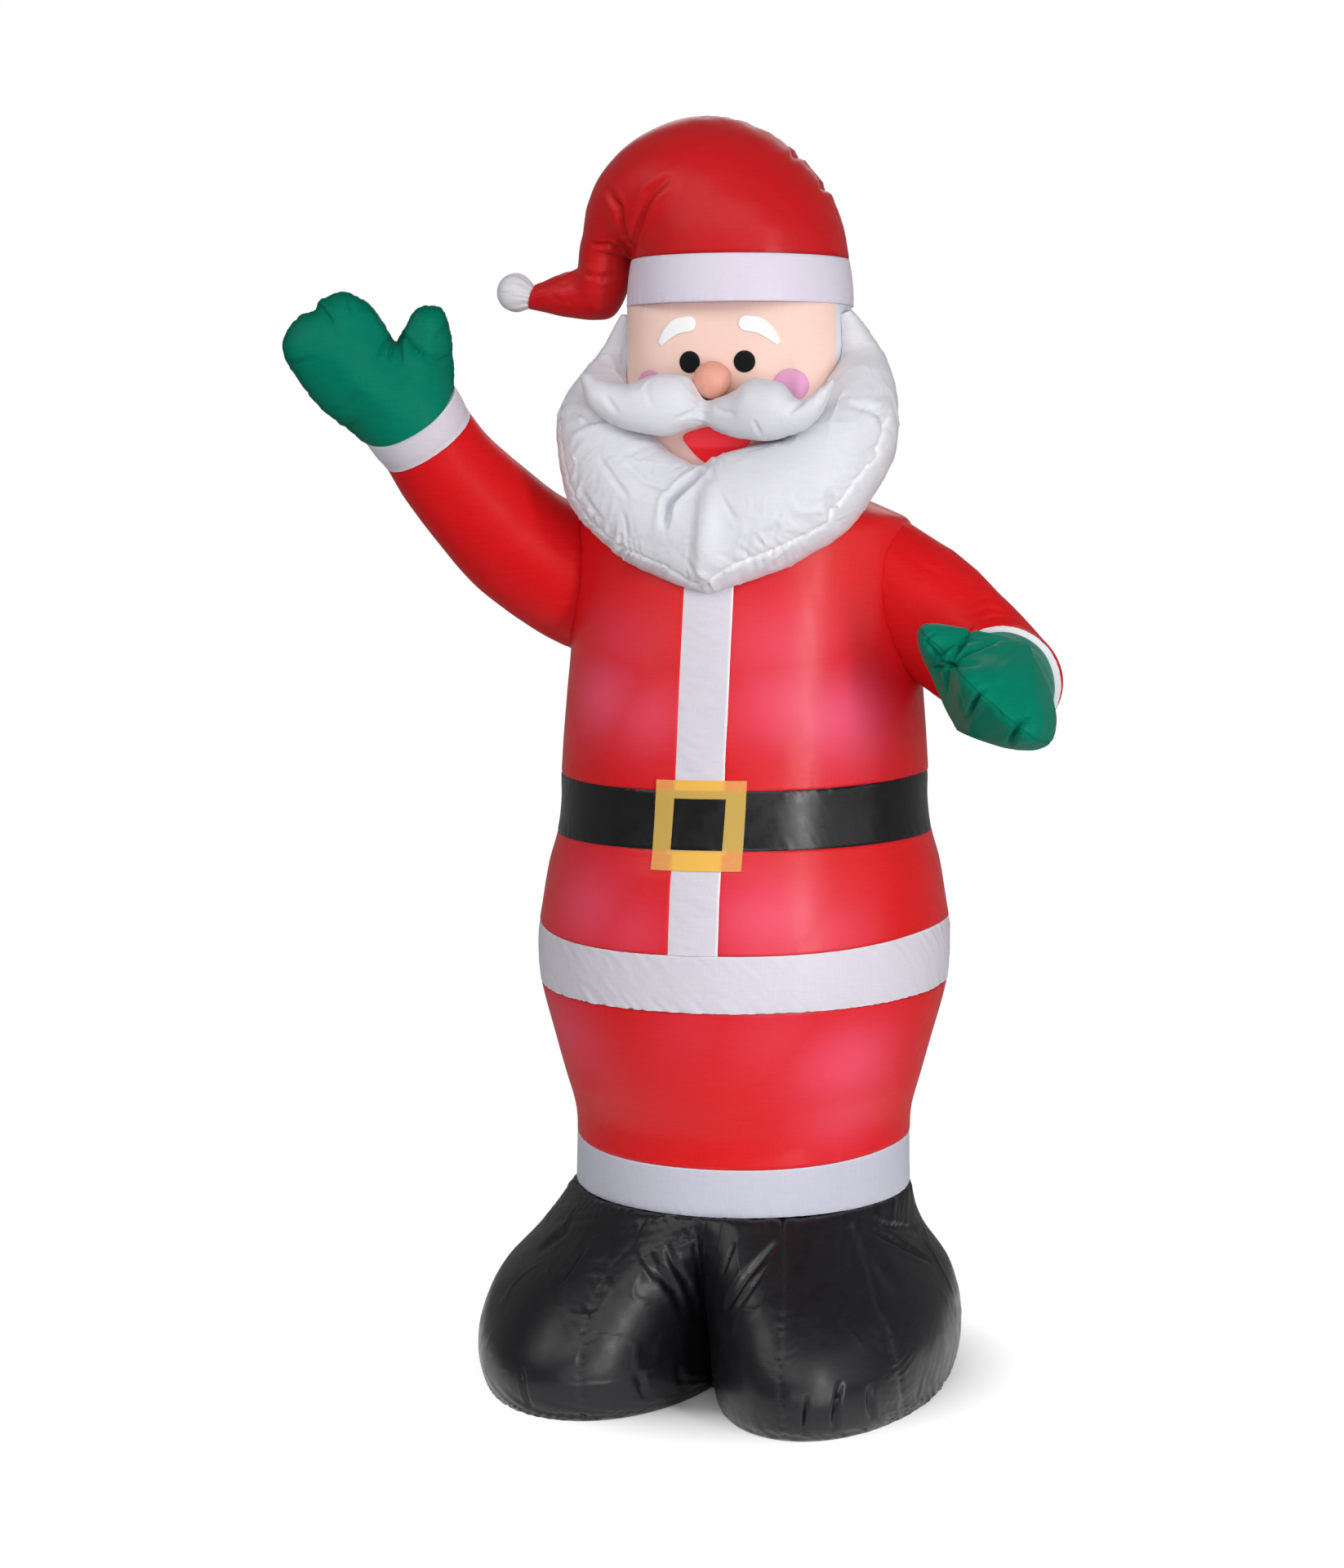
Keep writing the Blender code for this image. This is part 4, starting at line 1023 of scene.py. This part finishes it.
def brow(side):
    """Outline of an eyebrow: its upper edge, its lower edge back, and its round inner end."""
    t = np.linspace(0, 1, 30)
    middle, half = np.split(spread(BROW, t), [2], 1)
    run = (spread(BROW, t + 0.03) - spread(BROW, t - 0.03))[:, :2]
    up = np.stack([-run[:, 1], run[:, 0]], -1) / np.linalg.norm(run, axis=1, keepdims=True)
    a = np.radians(np.linspace(262, 98, 14))
    inner = middle[0] + half[0] * np.stack([np.cos(a), np.sin(a)], -1)
    return np.vstack([middle + half * up, (middle - half * up)[::-1], inner]) * (side, 1)


def rounded(corners, count=96):
    """Closed smooth line through the corners."""
    n = len(corners)
    table = [(k, *corners[k % n]) for k in range(-2, n + 3)]
    return spread(table, np.arange(count) / count * n)


# Places to the side and up, then radius
EYE_AT = (21.6, 802.3, 8.3)
CHEEK_AT = (55.6, 784.4, 12.5)
for side_name, side in (("left", -1), ("right", 1)):
    patch("eye_" + side_name + "_patch", circle(side, *EYE_AT), EYE, "eye_" + side_name)
    patch("brow_" + side_name + "_patch", brow(side), BROW_CLOTH, "eyebrow_" + side_name)
    patch("cheek_" + side_name + "_patch", circle(side, *CHEEK_AT), CHEEK,
          "cheek_" + side_name)
LIPS = ((-27, 746), (-14, 751.5), (0, 753.5), (14, 751.5), (27, 746), (20, 735), (11, 726.5),
        (0.5, 719.8), (-11, 726.5), (-20, 734.5))
# Below this height the mouth turns a darker red
LIP_SHADE = 737.5
patch("mouth_patch", rounded(LIPS), MOUTH, "mouth",
      lambda p: 1 / (1 + np.exp((p[:, 1] - LIP_SHADE) * 2.2)))


# Hat
BAND_RADIUS = 88.6
BAND_TAPER = 3.6
BAND_BULGE = 0.8


def hat_band_piece():
    rows = 30
    t = np.linspace(0, 1, rows)[:, None]
    a = turns(420) + np.zeros((rows, 1))
    z = BAND_LOW + EDGE + (BAND_TOP - BAND_LOW - 2 * EDGE) * t + np.zeros_like(a)
    u = a * BAND_GIRTH
    r = BAND_RADIUS - BAND_TAPER * t + BAND_BULGE * np.sin(pi * t) + np.zeros_like(a)
    r = r + seam(u, z - BAND_LOW, 9, 5, 0.7, 131, groove=0.0) + seam(u, BAND_TOP - z, 7, 5, 0.35, 132)
    r = r + 0.3 * soft_noise(np.stack([u, z, z * 0], -1), 30, 133)
    grid = np.stack([r * np.cos(a), HEAD_Y + r * np.sin(a), z], -1)
    marks = {"seam": threads(z - BAND_LOW, BAND_TOP - z, 0.5, 1.2)}
    dress(skin("hat_band_blown", grid, marks), BAND, "hat_band")


# The crown turns round its crease: angle, reach and half depth; then the tail's two edges and half depth
CREASE = (-86.0, 884.0)
CROWN = ((0, 171.0, 84.8), (14, 165.5, 84), (30, 154, 81), (50, 137, 77), (66, 120, 71),
         (90, 90, 60), (120, 62, 46), (148, 46.5, 36), (172, 44.5, 30))
TAIL = ((-131, 881, -93, 862, 27), (-132.5, 879.5, -104, 842, 24), (-137, 878, -120, 838.5, 20),
        (-148, 874.5, -143, 841, 17), (-160, 870, -159, 844.5, 13.5), (-168, 866.5, -173, 847.5, 10))
POMPOM_AT = (-184.5, 861.0)


def hat_rows():
    """Outer edge, inner edge and half depth of the crown's rings, led by their number."""
    rows = []
    for turn in (0, 9, 18, 29, 40, 52, 64, 77, 90, 108, 126, 138, 150, 161, 172):
        reach, deep = catmull(CROWN, turn)
        a = radians(turn)
        inner = 1.5 + 1.0 * turn / 172
        rows.append((CREASE[0] + reach * cos(a), CREASE[1] + reach * sin(a),
                     CREASE[0] + inner * cos(a), CREASE[1] + inner * sin(a), deep))
    rows += list(TAIL)
    return [(k, *row) for k, row in enumerate(rows)]


def hat_crown_piece(folds):
    table = hat_rows()
    rows = 190
    cols = 200
    grid = np.empty((rows, cols, 3))
    a = turns(cols)
    for k, t in enumerate(np.linspace(0, len(table) - 1, rows)):
        x1, z1, x2, z2, deep = catmull(table, t)
        grid[k, :, 0] = (x1 + x2) / 2 + (x1 - x2) / 2 * np.cos(a)
        grid[k, :, 1] = HEAD_Y + deep * np.sin(a)
        grid[k, :, 2] = (z1 + z2) / 2 + (z1 - z2) / 2 * np.cos(a)
    low = BAND_TOP + EDGE
    grid[0, :, 2] = low
    far = row_distances(grid)[0]
    ridge = np.abs(grid[..., 1] - HEAD_Y)
    lift = 0.6 * soft_noise(grid, 40, 141) + 0.2 * soft_noise(grid, 16, 142)
    around = np.arange(cols)[None, :] / cols * CROWN_LENGTH + np.zeros_like(far)
    lift += seam(around, far, 8, 7, 0.4, 143)
    lift += np.where(np.cos(a) > 0, seam(far, ridge, 14, 9, 1.3, 144, groove=0.5), 0)
    add_folds(lift, grid, folds)
    crease = np.array([CREASE[0], HEAD_Y, CREASE[1]])
    lift *= np.clip(np.linalg.norm(grid - crease, axis=2) / 25, 0.1, 1)
    grid = displaced(grid, lift)
    grid[0, :, 2] = low
    on_band = (far < 14) & (grid[..., 0] > -80)
    grid[..., 2] = np.where(on_band, np.maximum(grid[..., 2], low), grid[..., 2])
    marks = {"seam": np.exp(-(far / 1.2) ** 2) * 0.8}
    dress(skin("hat_crown_blown", grid, marks), SHADED_HAT_RED, "hat_crown")


POMPOM_LENGTH = 30
# Radius of the pompom along its axis
POMPOM_RADII = ((0, 8.8), (3, 10.2), (8, 13.4), (14, 15.2), (20, 14.6), (25, 11.6), (28.5, 6.8), (30, 1.0))


def pompom_piece():
    x1, z1, x2, z2, _ = TAIL[-1]
    start = np.array([(x1 + x2) / 2, HEAD_Y, (z1 + z2) / 2])
    axis = np.array([POMPOM_AT[0], HEAD_Y, POMPOM_AT[1]]) - start
    axis /= np.linalg.norm(axis)
    start = start + axis * 2 * EDGE
    across = np.array([x1 - x2, 0, z1 - z2], float)
    across /= np.linalg.norm(across)
    rows = 50
    a = turns(120)
    grid = np.empty((rows, len(a), 3))
    for k, s in enumerate(POMPOM_LENGTH * np.sin(np.linspace(0, 1, rows) * pi / 2)):
        pleat = 1 + 0.10 * np.exp(-s / 9) * ripple(a * 10, 6, 151) + 0.05 * ripple(a * 10 + s * 0.2, 9, 152)
        r = catmull(POMPOM_RADII, s)[0] * pleat
        grid[k] = (start + axis * s + (r * np.cos(a))[:, None] * across
                   + (r * np.sin(a))[:, None] * np.array([0, 1, 0]))
    grid[-1] = grid[-1].mean(0) + (grid[-1] - grid[-1].mean(0)) * 0.9
    pleats = np.clip(-ripple(a * 10, 5, 153), 0, 1)
    marks = {"seam": pleats[None, :] * np.linspace(0.6, 0, rows)[:, None]}
    dress(skin("pompom_blown", grid, marks), BEARD_CLOTH, "hat_pompom")


hat_band_piece()
hat_crown_piece((
    (((-76, -50, 884), (-64, -81, 908), (-52, -91, 928), (-34, -93, 941)), 5.5, 4.2),
    (((-77, -58, 893), (-80, -78, 920), (-92, -71, 937)), 5.0, 4.0),
    (((-84, -39, 889), (-97, -51, 894), (-113, -49, 895)), 3.6, 2.8),
    (((-88, -24, 878), (-104, -41, 870), (-120, -41, 873)), 3.6, 2.8),
    (((22, 12, 973), (22, -17, 975.5), (21, -52, 960)), 4.5, 3.8),
    (((45, 14, 961), (45, -17, 963.6), (42, -56, 948)), 5.0, 5.2),
    (((65, 16, 936), (66, -17, 937.6), (60, -56, 924)), 5.0, 5.2),
    (((-11, 8, 986), (-11, -17, 988), (-13, -46, 976)), 4.0, 2.0),
    (((-140, -32, 868), (-133, -33, 849)), 3.0, 1.2),
    (((-163, -25, 866), (-140, -33, 852)), 3.0, 1.2),
    (((-76, 20, 884), (-60, 50, 905), (-40, 62, 930)), 6.0, 2.6),
    (((-77, 24, 893), (-82, 45, 920), (-94, 40, 940)), 6.0, 2.4),
))
pompom_piece()


# Beard and moustache: place from -1 to 1, x, y, z, half width and half depth, each side on its own
BEARD_RIGHT = ((0.0, 0, -111, 677, 48.0, 31), (0.2, 38, -101, 692, 47.5, 38), (0.4, 75, -84, 710, 43, 43),
               (0.6, 98, -58, 751, 36, 41), (0.8, 96.5, -22, 798, 22, 29), (1.0, 83.0, -27, 840, 7.0, 13))
BEARD_LEFT = (BEARD_RIGHT[0], (0.2, 38, -101, 686.5, 43, 37), BEARD_RIGHT[2],
              (0.6, 98, -58, 751, 34, 41), (0.8, 94.5, -22, 798, 15.5, 28), BEARD_RIGHT[5])
BEARD_HEART = (0, -88, 775)
BEARD_SEAM = (
    (-126, 775), (-125, 745), (-112, 712), (-95, 684), (-69, 664), (-45, 655), (-28, 649),
    (-2, 634), (29, 651), (62, 664), (92, 679), (109, 706), (126, 730), (132, 765),
)
# Path by x and z, width and depth
BEARD_FOLDS = (
    (((1, 726), (-7, 715), (-17, 705), (-24, 697), (-27, 676)), 4.5, 9.0),
    (((8, 713), (9, 690), (7, 660), (3, 636)), 11.0, -4.5),
    (((96, 708), (98, 680)), 3.2, 3.0),
    (((104, 769), (121, 766), (133, 761)), 4.0, 3.0),
    (((124, 764), (134, 748)), 3.2, 2.4),
    (((-122, 748), (-99, 756), (-80, 762)), 4.0, 3.0),
    (((-117, 769), (-88, 756)), 3.0, 2.0),
    (((-98, 705), (-78, 681)), 3.0, 1.8),
    (((-68, 731), (-44, 712), (-18, 704)), 3.6, 2.4),
    (((-84, 731), (-56, 699)), 3.0, 1.8),
    (((13, 706), (31, 681)), 3.0, 1.6),
    (((-9, 655), (1, 640)), 2.4, 1.6),
    (((118, 731), (131, 740)), 3.0, 2.0),
    (((40, 672), (34, 655)), 2.6, 1.6),
    (((62, 690), (55, 668)), 2.6, 1.6),
    (((-60, 690), (-56, 668)), 2.6, 1.6),
)
# Lower and upper edge of the moustache from one tip to the other: x, z, x, z, then y and half depth
MOUSTACHE = (
    (-99.1, 785.0, -101.1, 793.0, -111, 3), (-96.3, 774.0, -94.8, 793.5, -112, 8),
    (-89.5, 764.0, -83.5, 788.5, -113, 13), (-68.8, 752.0, -65.8, 785.5, -112, 17),
    (-45.4, 746.5, -50.4, 789.5, -110, 20.5), (-31.0, 746.0, -34.0, 793.0, -108, 21),
    (-21.4, 749.0, -18.9, 791.0, -106.5, 18.5), (-12.2, 752.0, -12.2, 785.0, -104, 15),
    (-4.8, 753.7, -4.8, 773.2, -101, 10), (4.8, 750.0, 6.8, 775.5, -104, 13),
    (18.6, 744.5, 20.6, 780.5, -106.5, 17), (31.3, 742.5, 32.8, 788.0, -109, 20.5),
    (44.9, 742.0, 50.4, 787.0, -111, 20.5), (59.2, 744.4, 58.2, 784.0, -112, 18.5),
    (71.7, 748.0, 66.7, 775.5, -113.5, 15), (80.8, 754.0, 73.8, 773.0, -114, 13),
    (88.0, 762.0, 83.0, 778.0, -114.5, 10.5), (94.2, 774.0, 90.7, 783.5, -113.5, 7),
    (97.7, 785.0, 96.2, 788.0, -112, 2.5),
)
MOUSTACHE_FOLDS = (
    (((39, 758), (45, 745)), 2.6, 1.8),
    (((78, 777), (75, 772), (65, 761)), 3.4, 2.8),
    (((-46, 786), (-38, 766)), 3.0, 1.2),
    (((-6, 767), (-14, 762), (-24, 757)), 2.6, 1.6),
    (((6, 767), (14, 764), (26, 762)), 2.6, 1.6),
    (((-78, 778), (-66, 763)), 3.4, 1.8),
)


def beard_grid(rows, cols):
    """Rings round the beard's curve, smoothed between a few stations so that none cross."""
    table = [(-t, -x, *rest) for t, x, *rest in reversed(BEARD_LEFT[1:])] + list(BEARD_RIGHT)
    half = [0.15] + [k / 10 for k in range(3, 11)]
    a = turns(cols)
    rings = []
    for t in [-t for t in reversed(half)] + [0.0] + half:
        x, y, z, wide, deep = catmull(table, t)
        centre = Vector((x, y, z))
        along = heading(table, t, 0.02)
        away = centre - Vector(BEARD_HEART)
        away = (away - away.dot(along) * along).normalized()
        fore = along.cross(away)
        if fore.y > 0:
            fore = -fore
        ring = (np.array(centre) + (wide * np.cos(a))[:, None] * np.array(away)
                + (deep * np.sin(a))[:, None] * np.array(fore))
        rings.append((t, *ring.reshape(-1)))
    return spread(rings, np.linspace(-1, 1, rows)).reshape(rows, cols, 3)


def beard_piece(*cutters):
    cols = 180
    grid = beard_grid(340, cols)
    n = outward(grid)
    a = turns(cols)
    u = row_distances(grid[:, :1])[0] + np.zeros(cols)
    inner = np.abs(a - 2.6) * BEARD_GIRTH + np.zeros_like(u)
    outer = np.minimum(a, 2 * pi - a) * BEARD_GIRTH + 14 + np.zeros_like(u)
    lift = seam(u, inner, 18, 12, 1.3, 162, groove=0.3) + seam(u, outer, 30, 18, 0.8, 163, groove=0.0)
    lift += 1.3 * soft_noise(grid, 38, 164) + 0.6 * np.abs(soft_noise(grid, 20, 165)) ** 0.8
    lift += 1.1 * creases(grid, 22, 166) + 0.8 * creases(grid, 13, 168)
    near = np.clip(-2.2 * n[..., 1], 0, 1)
    more, thread = line_seam(seen(grid), BEARD_SEAM, 8, 15, 2.3, 161, groove=1.2, slant=0.5)
    lift += more * near
    add_folds(lift, seen(grid), BEARD_FOLDS, near=near)
    prow = np.exp(-np.abs(grid[..., 0] - 2) / 9) * np.clip((715 - grid[..., 2]) / 40, 0, 1)
    lift += 3.0 * prow * (grid[..., 1] < -95)
    beard = skin("beard_blown", grid + n * lift[..., None], {"seam": thread * near * 0.9})
    carve(beard, *cutters)
    dress(beard, BEARD_CLOTH, "beard")


def moustache_piece(*cutters):
    rows = 230
    cols = 110
    table = [(k, *row) for k, row in enumerate(MOUSTACHE)]
    places = np.linspace(0, len(table) - 1, rows)
    a = turns(cols)
    low_x, low_z, top_x, top_z, y, deep = [v[:, None] for v in spread(table, places).T]
    up = (1 + np.cos(a)) / 2
    back = np.where(np.sin(a) > 0, 1.3, 1.0)
    grid = np.stack([low_x + (top_x - low_x) * up, y + deep * back * np.sin(a),
                     low_z + (top_z - low_z) * up], -1)
    n = outward(grid)
    middle = grid.mean(1)[:, 0]
    u = np.abs(middle - middle[int(rows * 8 / 18)])[:, None] + np.zeros(cols)
    rim = np.minimum(a, 2 * pi - a) * MOUSTACHE_GIRTH + np.zeros_like(u)
    low = np.abs(a - pi) * MOUSTACHE_GIRTH + np.zeros_like(u)
    lift = seam(u, rim, 11, 8, 0.9, 171, groove=0.5) + seam(u, low, 11, 8, 1.0, 172, groove=0.5)
    knot = seam(a * 14 + np.zeros_like(u), u, 7, 8, 1.3, 173, groove=0.0)
    lift += knot + 0.7 * soft_noise(grid, 22, 174) + 0.6 * creases(grid, 15, 175)
    add_folds(lift, seen(grid), MOUSTACHE_FOLDS, deep=0.8, near=np.clip(-2.2 * n[..., 1], 0, 1))
    lift *= np.clip(np.minimum(places, places[-1] - places) / 1.5, 0.15, 1)[:, None]
    marks = {"seam": threads(rim, low, 0.5, 1.0, 1.0)}
    moustache = skin("moustache_blown", grid + n * lift[..., None], marks)
    carve(moustache, *cutters)
    dress(moustache, BEARD_CLOTH, "moustache")


NOSE_AT = (0.0, -100.0, 788.0)
NOSE_SIZE = (14.8, 13.4, 14.4)


def nose_piece():
    lat = np.linspace(0.04, pi - 0.04, 60)[:, None]
    lon = turns(90)[None, :]
    pinch = 1 - 0.10 * np.exp(-((lat - pi) / 0.7) ** 2)
    pleats = 1 + 0.26 * np.exp(-((lat - pi) / 1.0) ** 2) * ripple(lon * 9 + 0 * lat, 6, 181)
    x = NOSE_AT[0] + NOSE_SIZE[0] * np.sin(lat) * np.cos(lon) * pinch * pleats
    y = NOSE_AT[1] + NOSE_SIZE[1] * np.sin(lat) * np.sin(lon) * pleats
    z = NOSE_AT[2] + NOSE_SIZE[2] * np.cos(lat) + np.zeros_like(lon)
    grid = np.stack([x, np.minimum(y, head_front(x, z) - 0.2), z], -1)
    dress(skin("nose_blown", grid), NOSE, "nose")


# Body and head, a little swollen, that the beard and the moustache are carved by
body_guide = skin("body_guide", body_grid(np.linspace(BELT_TOP, NECK, 60), 180, 0.5))
head_levels = np.linspace(NECK - 12, BAND_LOW + 12, 30)
head_halves = [head_grid(head_levels, front, 0.4, 60, 0) for front in (True, False)]
head_guide = skin("head_guide", np.concatenate(head_halves, 1))
beard_piece(body_guide, head_guide)
moustache_piece(head_guide)
nose_piece()
drop(body_guide, head_guide)


# Floor, light and camera
FLOOR_RADIUS = 0.9
FLOOR_DROP = -0.0005
FAR_RADIUS = 30.0
DOME_RADIUS = 29.9
DOME_RISES = (-0.05, 0.3, 0.7, 1.1, 1.5)
SIDES = 96


def level_ring(radius, z):
    return [(radius * cos(a), radius * sin(a), z) for a in turns(SIDES)]


def staged(name, rings, mat, cap):
    """Object of the bands between level rings, with a cap on the last ring or none."""
    last = (len(rings) - 1) * SIDES
    faces = [(k + i, k + (i + 1) % SIDES, k + SIDES + (i + 1) % SIDES, k + SIDES + i)
             for k in range(0, last, SIDES) for i in range(SIDES)]
    if cap:
        faces.append(tuple(range(last, last + SIDES)))
    mesh = bpy.data.meshes.new(name)
    mesh.from_pydata([p for ring in rings for p in ring], [], faces)
    mesh.materials.append(mat)
    obj = bpy.data.objects.new(name, mesh)
    bpy.context.scene.collection.objects.link(obj)
    return obj


def pale_floor():
    """Pale floor; it brightens away from the figure, as a studio sweep does."""
    mat = bpy.data.materials.new("pale_floor")
    mat.use_nodes = True
    tree = mat.node_tree
    shader = tree.nodes["Principled BSDF"]
    shader.inputs["Specular IOR Level"].default_value = 0.1
    feed(tree, shader, {"Base Color": (0.92, 0.92, 0.93), "Roughness": 0.9})
    place = add_node(tree, "TexCoord", {}).outputs["Object"]
    far = tree.nodes.new("ShaderNodeVectorMath")
    far.operation = "LENGTH"
    feed(tree, far, {0: place})
    share = add_node(tree, "MapRange", {"Value": far.outputs["Value"], "From Min": 0.25, "From Max": 0.40})
    light = add_node(tree, "Emission", {"Color": (1, 1, 1), "Strength": 1.0})
    blend = add_node(tree, "MixShader", {0: share.outputs["Result"], 1: shader.outputs[0],
                                         2: light.outputs[0]})
    feed(tree, tree.nodes["Material Output"], {"Surface": blend.outputs[0]})
    return mat


def white_dome():
    mat = bpy.data.materials.new("white_dome")
    mat.use_nodes = True
    tree = mat.node_tree
    tree.nodes.clear()
    light = add_node(tree, "Emission", {})
    add_node(tree, "OutputMaterial", {"Surface": light.outputs[0]})
    return mat


floor = staged("floor", [level_ring(FLOOR_RADIUS, 0.0)], pale_floor(), True)
floor.location.z = FLOOR_DROP
white = white_dome()
far_rings = [level_ring(r, FLOOR_DROP) for r in (FLOOR_RADIUS, FAR_RADIUS)]
dome_rings = [level_ring(DOME_RADIUS * cos(e), DOME_RADIUS * sin(e)) for e in DOME_RISES]
# Only the camera sees the far floor and the dome
for obj in (staged("far_floor", far_rings, white, False), staged("dome", dome_rings, white, True)):
    obj.visible_diffuse = False
    obj.visible_glossy = False
    obj.visible_transmission = False
    obj.visible_shadow = False


def softbox(name, at, look, width, height, power):
    data = bpy.data.lights.new(name, "AREA")
    data.shape = "RECTANGLE"
    data.size = width
    data.size_y = height
    data.energy = power
    obj = bpy.data.objects.new(name, data)
    obj.location = at
    obj.rotation_mode = "QUATERNION"
    obj.rotation_quaternion = (Vector(look) - Vector(at)).to_track_quat("-Z", "Y")
    bpy.context.scene.collection.objects.link(obj)


CAMERA_TURN = 14.5


def round_axis(turn, away, z):
    """Place at that many degrees to the right of the camera's side."""
    a = radians(CAMERA_TURN + turn)
    return (away * sin(a), -away * cos(a), z)


softbox("tall_softbox", round_axis(32, 3.2, 1.15), (0, 0, 0.95), 0.36, 2.6, 44)
softbox("front_softbox", round_axis(-6, 4.4, 3.6), (0, 0, 0.8), 4.5, 2.0, 63)
softbox("left_softbox", round_axis(-55, 3.6, 3.0), (0, 0, 0.7), 2.4, 2.0, 32)
softbox("right_softbox", round_axis(62, 3.4, 1.5), (0, 0, 0.8), 2.4, 2.0, 12)
softbox("back_softbox", (-0.8, 3.6, 3.2), (0, 0, 0.9), 2.5, 2.0, 22)
softbox("low_softbox", round_axis(4, 4.2, 0.5), (0, 0, 0.4), 2.4, 0.6, 19)

world = bpy.data.worlds.new("studio")
bpy.context.scene.world = world
world.use_nodes = True
world.node_tree.nodes["Background"].inputs[0].default_value = (1, 1, 1, 1)
world.node_tree.nodes["Background"].inputs[1].default_value = 0.23
bpy.context.scene.view_settings.view_transform = "Standard"

# The camera: its distance and height in metres for units of 1.8 mm, how far it looks down and aside
SCALE = UNIT / 0.0018
CAMERA_AWAY = 4.213 * SCALE
CAMERA_HEIGHT = 1.297 * SCALE
CAMERA_DOWN = radians(6.10)
CAMERA_ASIDE = atan(89 / 3600)
CAMERA_LENS = 67.5
eye = Vector(round_axis(0, CAMERA_AWAY, CAMERA_HEIGHT))
ahead = radians(CAMERA_TURN) + CAMERA_ASIDE
facing = Vector((-sin(ahead), cos(ahead), 0))
forward = facing * cos(CAMERA_DOWN) - Vector((0, 0, sin(CAMERA_DOWN)))
right = Vector((facing.y, -facing.x, 0))
matrix = Matrix((right, right.cross(forward), -forward)).transposed().to_4x4()
matrix.translation = eye
data = bpy.data.cameras.new("camera")
data.lens = CAMERA_LENS
data.sensor_width = 36
data.sensor_fit = "AUTO"
camera = bpy.data.objects.new("camera", data)
camera.matrix_world = matrix
bpy.context.scene.collection.objects.link(camera)
bpy.context.scene.camera = camera
